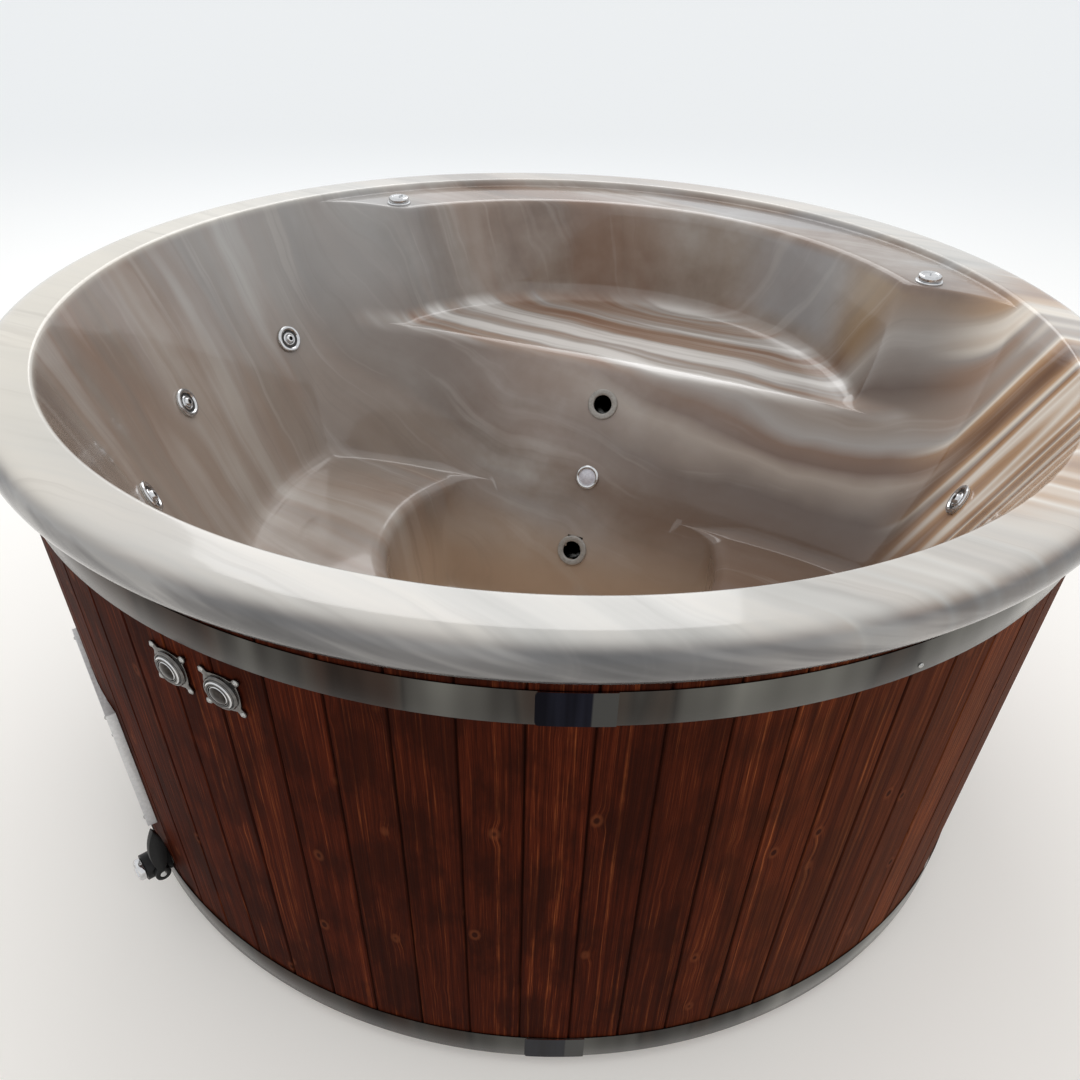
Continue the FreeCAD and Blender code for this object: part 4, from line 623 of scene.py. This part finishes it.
# Lamp in the front of the raised seat: frosted, slightly domed lens held by a chrome bezel.
# Lens and bezel are moulded plastic, and the bezel clamps the lens to the body behind the shell.
lamp_z = 0.480
lamp_spot = front_place(lamp_z)
bezel = turned([
    (0.0193, 0.003), (0.025, 0.003), (0.025, 0.0), (0.027, 0.0), (0.027, 0.0036), (0.0252, 0.0056),
    (0.0226, 0.0060), (0.0200, 0.0050), (0.0193, 0.0040),
])
soften(bezel, 0.0004)
bezel.transform(lamp_spot)
new_piece("lamp_bezel", bezel, [bright_chrome], "tub", "chrome", "lamp_ring")

frosted_lens, lens_shader, place = new_finish("frosted_lens", 0.28)
haze = place.noise(240.0, 3.0, 0.6)
haze.ramp((0.3, shade(196, 196, 206)), (0.7, shade(222, 222, 230))).into(lens_shader, "Base Color")
lens_shader.inputs["Coat Weight"].default_value = 0.6
haze.bump(lens_shader, 0.0002)


def crown(radius, top, stop):
    """Outline of a dome from its top to a slope in degrees, in steps of three."""
    angles = [math.radians(degrees) for degrees in range(0, stop, 3)]
    return [(radius * math.sin(a), top - radius * (1.0 - math.cos(a))) for a in angles]


lens = turned(crown(0.038, 0.007, 31) + [(0.019, 0.003), (0.0, 0.003)], closed=False)
lens.transform(lamp_spot)
new_piece("lamp_window", lens, [frosted_lens], "tub", "lens", "lamp_lens")


# Heater ports above and below the lamp: grey moulded flanges, open to the heater pipes behind.
# Each sits on the wet side of the shell with a rounded lip, and is sealed to it round its bore.
port_grey, port_shader, place = new_finish("port_grey", 0.3)
mould_skin = place.noise(220.0, 2.0)
mould_skin.ramp((0.3, shade(142, 138, 132)), (0.7, shade(166, 162, 156))).into(port_shader, "Base Color")
port_shader.inputs["Coat Weight"].default_value = 0.3
port_outline = [
    (0.021, 0.0), (0.034, 0.0), (0.034, 0.003), (0.0325, 0.0047), (0.0305, 0.005), (0.0242, 0.005),
    (0.0222, 0.0042), (0.021, 0.003),
]
ports = bmesh.new()
for height in port_heights:
    port = turned(port_outline)
    soften(port, 0.0004)
    gather(ports, port, front_place(height))
new_piece("heater_flanges", ports, [port_grey], "tub", "port_grey", "heater_ports")


# Floor drain and suction cover in the footwell: a chromed strainer that plugs into the waste, and a white
# moulded cover that sits over the suction fitting. Both are pierced with round holes.
def eased_copy(node, width, material, body, slot):
    """Copies a piece of the frame with its sharp edges rounded off."""
    shape = bmesh.new()
    shape.from_mesh(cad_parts[node].data)
    bmesh.ops.remove_doubles(shape, verts=shape.verts, dist=0.00001)
    bmesh.ops.dissolve_limit(shape, angle_limit=math.radians(0.5), verts=shape.verts, edges=shape.edges)
    soften(shape, width, 35.0)
    new_piece(node + "_eased", shape, [material], body, slot, node)


eased_copy("drain_strainer", 0.0006, bright_chrome, "tub", "chrome")
eased_copy("suction_cover", 0.0012, white_pipe, "tub", "white_plastic")


# Staves of the cladding: planed spruce boards with chamfered edges, stained mahogany and oiled.
# They stand edge to edge under the rim, held by the hoops, and each has its own tone, grain and knots.
# The boards on the right are painted lighter and more orange: painted light on the lit side.
stave_count, stave_width = 72, 0.080
stained_spruce, stain_shader, place = new_finish("stained_spruce", 0.42)
x, y, z = place.parts()
board = place.maths("ARCTAN2", y, x) * (stave_count / math.tau) + (stave_count + 0.4)
number = board.maths("FLOOR", board)
across = (board - number - 0.5) * stave_width
lot = number.node("TexWhiteNoise", {"noise_dimensions": "1D"}, {"W": number}, "Value")
second_lot = number.node("TexWhiteNoise", {"noise_dimensions": "1D"}, {"W": number + 31.7}, "Value")
wander = place.point(lot * 37.0, number, z * 1.3).noise(1.0, 2.0)
knot_field = place.point(across * 14.0, number * 5.3, z * 9.0 + second_lot * 9.0)
knot = knot_field.node(
    "TexVoronoi", {"feature": "F1"}, {"Vector": knot_field, "Scale": 1.0, "Randomness": 1.0}, "Distance",
)
near_knot = 1.0 - knot.rises(0.05, 0.30)
grain_across = across + (wander - 0.5) * 0.022 + near_knot * 0.004
rings = place.point(grain_across * 170.0, number * 5.1 + lot * 20.0, z * 1.2).noise(1.0, 3.0, 0.6)
fibres = place.point(grain_across * 1000.0, number * 3.3, z * 11.0).noise(1.0, 3.0, 0.6)
soak = place.point(across * 16.0, number * 7.7, z * 7.0).noise(1.0, 4.0, 0.6)
grain = rings * 0.5 + fibres * 0.5
stain = grain.ramp(
    (0.36, shade(42, 15, 8)), (0.48, shade(66, 25, 13)), (0.57, shade(88, 36, 19)),
    (0.68, shade(150, 82, 44)),
)
soaked = ((1.0 - soak.rises(0.36, 0.58)) * 0.66).between(stain, shade(34, 13, 8))
# Painted light: a lighter grain for the lit right-hand side, mixed in from left to right.
right_lit_grain = grain.ramp(
    (0.36, shade(86, 44, 27)), (0.48, shade(118, 63, 38)), (0.57, shade(140, 79, 47)),
    (0.68, shade(184, 116, 70)),
)
right_lit = (x.rises(0.05, 0.75) * 0.5).between(soaked, right_lit_grain)
toned = (0.55 + 0.45 * lot).between(shade(40, 15, 8), right_lit)
ringed = ((1.0 - knot.rises(0.08, 0.15)) * 0.35).between(toned, shade(120, 66, 40))
knotted = ((1.0 - knot.rises(0.04, 0.08)) * 0.85).between(ringed, shade(34, 13, 9))
# Painted shade: each board darkens to near black at its edges, as the joints between boards are in shade.
board_edge_shade = across.maths("ABSOLUTE", across).rises(0.0368, 0.0396)
(board_edge_shade * 0.7).between(knotted, shade(16, 6, 4)).into(stain_shader, "Base Color")
(0.46 + 0.22 * fibres).into(stain_shader, "Roughness")
stain_shader.inputs["Specular IOR Level"].default_value = 0.015
(grain + soak * 0.4).bump(stain_shader, 0.0009, 0.6)
coat(stained_spruce, "staves_front", "staves_back", "staves_left", "staves_right")


# Hoops: polished stainless strip drawn tight round the staves, with the free end lapped over.
# The upper one sits under the rim, held by three screws, and the lower one at the foot. The steel is
# painted with reflections, dark on the left and lighter to the right, and the lap, polished like a mirror,
# is painted dark as a reflection of the ground.
polished_strip, strip_shader, place = new_finish("polished_strip", 0.16, 1.0)
x, y, z = place.parts()
rub = place.point(x * 5.0, y * 5.0, z * 420.0).noise(1.0, 3.0, 0.6)
# Painted reflection: patches of dark and light grey, darker to the left, stand for surroundings the steel
# mirrors.
painted_reflection = place.point(x * 9.0, y * 9.0, z * 0.5).noise(1.0, 2.0, 0.5) * 0.5 + x * 0.20 + 0.25
painted_reflection.ramp(
    (0.33, shade(62, 56, 52)), (0.37, shade(40, 34, 31)), (0.42, shade(58, 48, 43)),
    (0.47, shade(66, 61, 57)), (0.49, shade(56, 54, 52)), (0.52, shade(80, 79, 76)),
    (0.60, shade(106, 106, 102)), (0.67, shade(134, 133, 128)),
).into(strip_shader, "Base Color")
(0.16 + 0.12 * rub).into(strip_shader, "Roughness")
rub.bump(strip_shader, 0.0001, 0.3)

lap_dark_reflection, lap_shader, place = new_finish("lap_dark_reflection", 0.10, 1.0)
x, y, z = place.parts()
# Painted reflection: the lap is dark navy steel, grey at its far end, standing for the dark ground it
# mirrors.
sheen = place.point(x * 60.0, y * 6.0, z * 3.0).noise(1.0, 2.0)
painted_dark_reflection = sheen.ramp((0.35, shade(14, 14, 21)), (0.65, shade(27, 28, 38)))
x.rises(0.041, 0.044).between(painted_dark_reflection, shade(70, 70, 69)).into(lap_shader, "Base Color")
(0.08 + 0.08 * sheen).into(lap_shader, "Roughness")

stave_foot_reach, stave_foot_z, stave_slope = 0.8946, 0.030, 0.0687


def stave_reach(height):
    """Reach of the middle of the boards' outer faces at a height."""
    return stave_foot_reach + stave_slope * (height - stave_foot_z)


strip_width, strip_thick, corner_rise, strip_steps = 0.055, 0.0015, 0.0012, 288
lap_length, lap_corner, lap_azimuth = 0.095, 0.008, math.radians(-91.4)
lap_under, lap_over = 0.0016, 0.0031
for name, bottom in (("upper_hoop", 0.811), ("lower_hoop", 0.031)):
    top = bottom + strip_width
    low, high = stave_reach(bottom) + corner_rise, stave_reach(top) + corner_rise
    strip = [(low, bottom), (low + strip_thick, bottom), (high + strip_thick, top), (high, top)]
    band = turned(strip, steps=strip_steps)
    soften(band, 0.0004)
    lap = bmesh.ops.create_grid(band, x_segments=24, y_segments=1, size=0.5)["verts"]
    bmesh.ops.scale(band, vec=(lap_length, strip_width, 1.0), verts=lap)
    bmesh.ops.translate(band, vec=(lap_length / 2.0, bottom + strip_width / 2.0, 0.0), verts=lap)
    ends = [vertex for vertex in lap if vertex.co.x < 0.001]
    rounded = bmesh.ops.bevel(
        band, geom=ends, offset=lap_corner, segments=5, profile=0.5, affect="VERTICES", material=-1,
    )["verts"]
    lap = list({vertex for vertex in lap if vertex.is_valid} | set(rounded))
    plate = list({face for vertex in lap for face in vertex.link_faces})
    lifted = bmesh.ops.extrude_face_region(band, geom=plate)["geom"]
    raised = [item for item in lifted if isinstance(item, bmesh.types.BMVert)]
    for vertex, lift in [(vertex, lap_under) for vertex in lap] + [(vertex, lap_over) for vertex in raised]:
        height = vertex.co.y
        reach = stave_reach(height) + corner_rise + lift
        vertex.co = polar(reach, lap_azimuth + vertex.co.x / reach, height)
    bmesh.ops.recalc_face_normals(band, faces=band.faces)
    band.normal_update()
    lap_faces = list({face for vertex in lap + raised for face in vertex.link_faces})
    if max(lap_faces, key=lambda face: face.calc_center_median().xy.length).normal.y > 0.0:
        bmesh.ops.reverse_faces(band, faces=lap_faces)
    for face in lap_faces:
        face.material_index = 1 if abs(face.normal.y) > 0.9 else 2
    new_piece(name + "_strip", band, [polished_strip, lap_dark_reflection, bright_chrome], "tub", "hoop_steel", name)


# Screws in the upper hoop, the button plates and the grille: stainless steel with round heads.
# The heads are pressed with a cross slot, and the shanks are driven into the boards.
bright_screw, screw_shader, place = new_finish("bright_screw", 0.25, 1.0)
scuff = place.noise(900.0, 2.0)
scuff.ramp((0.3, shade(150, 150, 148)), (0.7, shade(196, 196, 194))).into(screw_shader, "Base Color")
(0.16 + 0.2 * scuff).into(screw_shader, "Roughness")
stave_lean = math.atan(stave_slope)


def stave_place(azimuth, height, lift):
    """A place on the outer face of the staves, looking out, with Y up the boards."""
    origin = polar(stave_reach(height) + lift, azimuth, height)
    out = polar(math.cos(stave_lean), azimuth, -math.sin(stave_lean))
    return facing(origin, out, polar(1.0, azimuth + math.pi / 2, 0.0))


def corner_places(spot, half_width, half_height, lift):
    """Four places at the corners of a plate."""
    corners = [(x, y) for x in (-half_width, half_width) for y in (-half_height, half_height)]
    return [spot @ Matrix.Translation((x, y, lift)) for x, y in corners]


button_azimuths, button_z, button_lift = (-121.7, -116.3), 0.754, 0.0012
valve_azimuth, vent_arc, vent_reach, vent_z = math.radians(-139.5), 0.120, 0.9163, 0.345
hoop_screw_azimuths, hoop_screw_z, hoop_screw_lift = (-61.5, 58.5, 178.5), 0.823, 0.0030
ear_screw_half, vent_screw_half = 0.028, (0.118, 0.123)
plate_thick, vent_proud = 0.003, 0.008
button_spots = [stave_place(math.radians(degrees), button_z, button_lift) for degrees in button_azimuths]
vent_spot = stave_place(valve_azimuth - vent_arc / vent_reach, vent_z, 0.0)
screw_spots = [
    stave_place(math.radians(degrees), hoop_screw_z, hoop_screw_lift) for degrees in hoop_screw_azimuths
]
for spot in button_spots:
    screw_spots += corner_places(spot, ear_screw_half, ear_screw_half, plate_thick)
screw_spots += corner_places(vent_spot, *vent_screw_half, vent_proud)
head_round, head_sink, shank_round, shank_end = 0.0045, 0.0020, 0.0020, -0.022
slot_reach, slot_turn, slot_depth = 0.0026, 16.0, 0.0008
dome_angles = [math.radians(degrees) for degrees in range(0, 64, 7)]
screw_outline = [(head_round * math.sin(a), head_round * math.cos(a) - head_sink) for a in dome_angles]
screw_outline += [(0.0040, 0.0), (shank_round, 0.0), (shank_round, shank_end), (0.0, shank_end)]
screws = bmesh.new()
for spot in screw_spots:
    head = turned(screw_outline, 24, closed=False)
    slot = []
    for face in head.faces:
        middle = face.calc_center_median()
        turn = math.degrees(math.atan2(middle.y, middle.x)) % 90.0
        if middle.z > 0.0 and middle.xy.length < slot_reach and turn < slot_turn:
            slot.append(face)
    sunk = bmesh.ops.extrude_face_region(head, geom=slot)["geom"]
    sunk = [item for item in sunk if isinstance(item, bmesh.types.BMVert)]
    bmesh.ops.translate(head, vec=(0.0, 0.0, -slot_depth), verts=sunk)
    bmesh.ops.delete(head, geom=[face for face in slot if face.is_valid], context="FACES_ONLY")
    gather(screws, head, spot)
new_piece("screw_heads", screws, [bright_screw], "tub", "screw_steel", "screws")


# Push-buttons beside each other in the staves: chromed plate with four ears, stepped ring, domed cap.
# Each cap travels in against a bellows, which sends a puff of air to the control box. A screw through
# each ear holds the plate to the boards.
# The plates and rings are chrome painted a dark grey: a painted reflection of darker surroundings.
satin_chrome, satin_shader, place = new_finish("satin_chrome", 0.2, 1.0)
breath = place.noise(120.0, 3.0, 0.6)
breath.ramp((0.3, shade(84, 82, 81)), (0.7, shade(116, 114, 112))).into(satin_shader, "Base Color")
(0.12 + 0.14 * breath).into(satin_shader, "Roughness")

# Painted reflection: the caps' chrome is painted dark, standing for dark surroundings it mirrors.
cap_dark_reflection, cap_reflection_shader, place = new_finish("cap_dark_reflection", 0.12, 1.0)
cap_reflection_mottle = place.noise(140.0, 3.0, 0.6)
cap_reflection_mottle.ramp((0.3, shade(40, 37, 35)), (0.7, shade(68, 64, 62))).into(cap_reflection_shader, "Base Color")
(0.08 + 0.12 * cap_reflection_mottle).into(cap_reflection_shader, "Roughness")

plate_reach, plate_bulge, plate_bore = 0.0290, 0.0055, 0.0195
ear_reach, ear_round, plate_steps = 0.0396, 0.0054, 288
ring_outline = [
    (0.0, -0.063), (0.019, -0.063), (0.019, 0.003), (0.027, 0.003), (0.027, 0.0055),
    (0.0258, 0.0075), (0.0242, 0.0080), (0.0230, 0.0072), (0.0222, 0.0080), (0.0215, 0.0098),
    (0.0200, 0.0110), (0.0180, 0.0108), (0.0172, 0.0098), (0.0164, 0.0108), (0.0153, 0.0110),
    (0.0153, -0.001), (0.0, -0.001),
]
# The rings' grooves take painted shade, and the step between them bright chrome as a painted highlight.
outer_groove, inner_groove, highlight_step = (0.0222, 0.0239), (0.0166, 0.0178), (0.0200, 0.0216)
cap_outline = crown(0.030, 0.0145, 30) + [(0.015, 0.0098), (0.015, 0.0023), (0.0, 0.0023)]
cap_highlight_reach = 0.0137
plates, bodies = bmesh.new(), bmesh.new()
for number, spot in enumerate(button_spots, start=1):
    plate = bmesh.new()
    outline = bmesh.ops.create_circle(plate, cap_ends=False, segments=plate_steps, radius=plate_reach)
    for vertex in outline["verts"]:
        lean = abs(math.atan2(vertex.co.y, vertex.co.x) % (math.pi / 2) - math.pi / 4)
        side = plate_reach + plate_bulge * (1.0 - math.sin(2.0 * lean))
        off = ear_reach * math.sin(lean)
        ear = ear_reach * math.cos(lean) + math.sqrt(ear_round ** 2 - off ** 2) if off < ear_round else 0.0
        vertex.co.xy *= max(side, ear) / plate_reach
    bmesh.ops.create_circle(plate, cap_ends=False, segments=plate_steps, radius=plate_bore)
    bmesh.ops.bridge_loops(plate, edges=plate.edges)
    lifted = bmesh.ops.extrude_face_region(plate, geom=plate.faces)["geom"]
    lifted = [item for item in lifted if isinstance(item, bmesh.types.BMVert)]
    bmesh.ops.translate(plate, vec=(0.0, 0.0, plate_thick), verts=lifted)
    bmesh.ops.recalc_face_normals(plate, faces=plate.faces)
    soften(plate, 0.0006, 50.0)
    gather(plates, plate, spot)
    ring = turned(ring_outline, closed=False)
    for part in ring.faces:
        middle = part.calc_center_median().xy.length
        if any(low < middle < high for low, high in (outer_groove, inner_groove)):
            part.material_index = 1
        elif highlight_step[0] < middle < highlight_step[1]:
            part.material_index = 2
    gather(bodies, ring, spot)
    cap = turned(cap_outline, closed=False)
    soften(cap, 0.0006, 30.0)
    # Painted highlight: the cap's outer edge is bright chrome on a cap painted dark.
    for part in cap.faces:
        part.material_index = 1 if part.calc_center_median().xy.length > cap_highlight_reach else 0
    cap.transform(spot)
    name = "button_cap_%d" % number
    new_piece(name + "_chrome", cap, [cap_dark_reflection, bright_chrome], name, "chrome", name)
new_piece("button_ears", plates, [satin_chrome], "tub", "chrome", "button_plates")
new_piece("button_rings", bodies, [satin_chrome, painted_recess_shade, bright_chrome], "tub", "chrome", "button_bodies")


# Ventilation grille low on the left: frame and sloping slats moulded in one from light grey plastic.
# It covers an opening in the staves that lets the pump's space breathe, and four screws hold it.
grille_grey, grille_shader, place = new_finish("grille_grey", 0.4)
mottle = place.noise(160.0, 3.0, 0.6)
mottle.ramp((0.3, shade(222, 222, 221)), (0.7, shade(240, 240, 239))).into(grille_shader, "Base Color")
mottle.bump(grille_shader, 0.0002)
eased_copy("vent_grille", 0.0009, grille_grey, "tub", "grille_grey")


# Drain valve at the foot: black moulded body with a bored ball, a leaf-shaped lever and a bright outlet.
# The lever sits on the stem of the chromed ball, so a quarter turn of it opens the drain.
eased_copy("drain_valve_body", 0.0015, moulded_black, "tub", "black_plastic")
eased_copy("drain_lever", 0.0025, moulded_black, "drain_lever", "black_plastic")
eased_copy("drain_outlet", 0.0006, bright_chrome, "tub", "chrome")
eased_copy("drain_valve_ball", 0.0005, bright_chrome, "drain_lever", "chrome")


# Heater pipes at the back: drawn stainless tube through the staves, each with a pressed cover rose.
# A black moulded gland, low on the hidden side, goes through the boards with its nut outside.
# The pipes and roses share the hoops' steel, with its painted reflections.
eased_copy("heater_pipes", 0.0005, polished_strip, "tub", "pipe_steel")
eased_copy("heater_roses", 0.0010, polished_strip, "tub", "pipe_steel")
eased_copy("cable_gland", 0.0008, moulded_black, "tub", "black_plastic")


# Studio: pale floor, one large soft panel above and behind the tub, and an even pale room around.
# The camera stands at the front, at eye height, and looks down into the tub.
floor = bmesh.new()
bmesh.ops.create_circle(floor, cap_ends=True, segments=96, radius=40.0)
pale_floor, floor_shader, place = new_finish("pale_floor", 0.9)
x, y, z = place.parts()
y.rises(-2.0, 6.0).between(shade(240, 236, 230), shade(222, 225, 227)).into(floor_shader, "Base Color")
rays = ("Is Camera Ray", "Is Glossy Ray", "Is Transmission Ray")
shown = [place.node("LightPath", {}, {}, ray) for ray in rays]
((shown[0] + shown[1] + shown[2]) * 0.17).into(floor_shader, "Emission Strength")
floor_shader.inputs["Emission Color"].default_value = (*shade(250, 248, 245), 1.0)
mesh = bpy.data.meshes.new("floor")
floor.to_mesh(mesh)
floor.free()
mesh.materials.append(pale_floor)
ground = bpy.data.objects.new("floor", mesh)
bpy.context.scene.collection.objects.link(ground)

world = bpy.data.worlds.new("pale_room")
world.use_nodes = True
room = world.node_tree.nodes["Background"]
room.inputs["Color"].default_value = (*shade(250, 251, 252), 1.0)
room_seen = Signal(world.node_tree.nodes.new("ShaderNodeLightPath").outputs["Is Camera Ray"])
(0.95 - 0.06 * room_seen).into(room, "Strength")
bpy.context.scene.world = world

panel_spot, panel_aim = Vector((-0.4, 2.9, 3.4)), Vector((0.0, 0.0, 0.7))
panel = bpy.data.lights.new("sky_panel", "AREA")
panel.size = 3.0
panel.energy = 55.0
holder = bpy.data.objects.new("sky_panel", panel)
holder.location = panel_spot
holder.rotation_euler = (panel_aim - panel_spot).to_track_quat("-Z", "Y").to_euler()
bpy.context.scene.collection.objects.link(holder)

lens_data = bpy.data.cameras.new("camera")
lens_data.sensor_width = 36.0
lens_data.lens = 33.98
camera = bpy.data.objects.new("camera", lens_data)
camera_spot, camera_tilt, camera_roll = (-0.0234, -1.8153, 1.6374), math.radians(56.57), math.radians(1.85)
camera.matrix_world = (
    Matrix.Translation(camera_spot)
    @ Matrix.Rotation(camera_tilt, 4, "X")
    @ Matrix.Rotation(camera_roll, 4, "Z")
)
bpy.context.scene.collection.objects.link(camera)
bpy.context.scene.camera = camera
bpy.context.scene.view_settings.view_transform = "Standard"
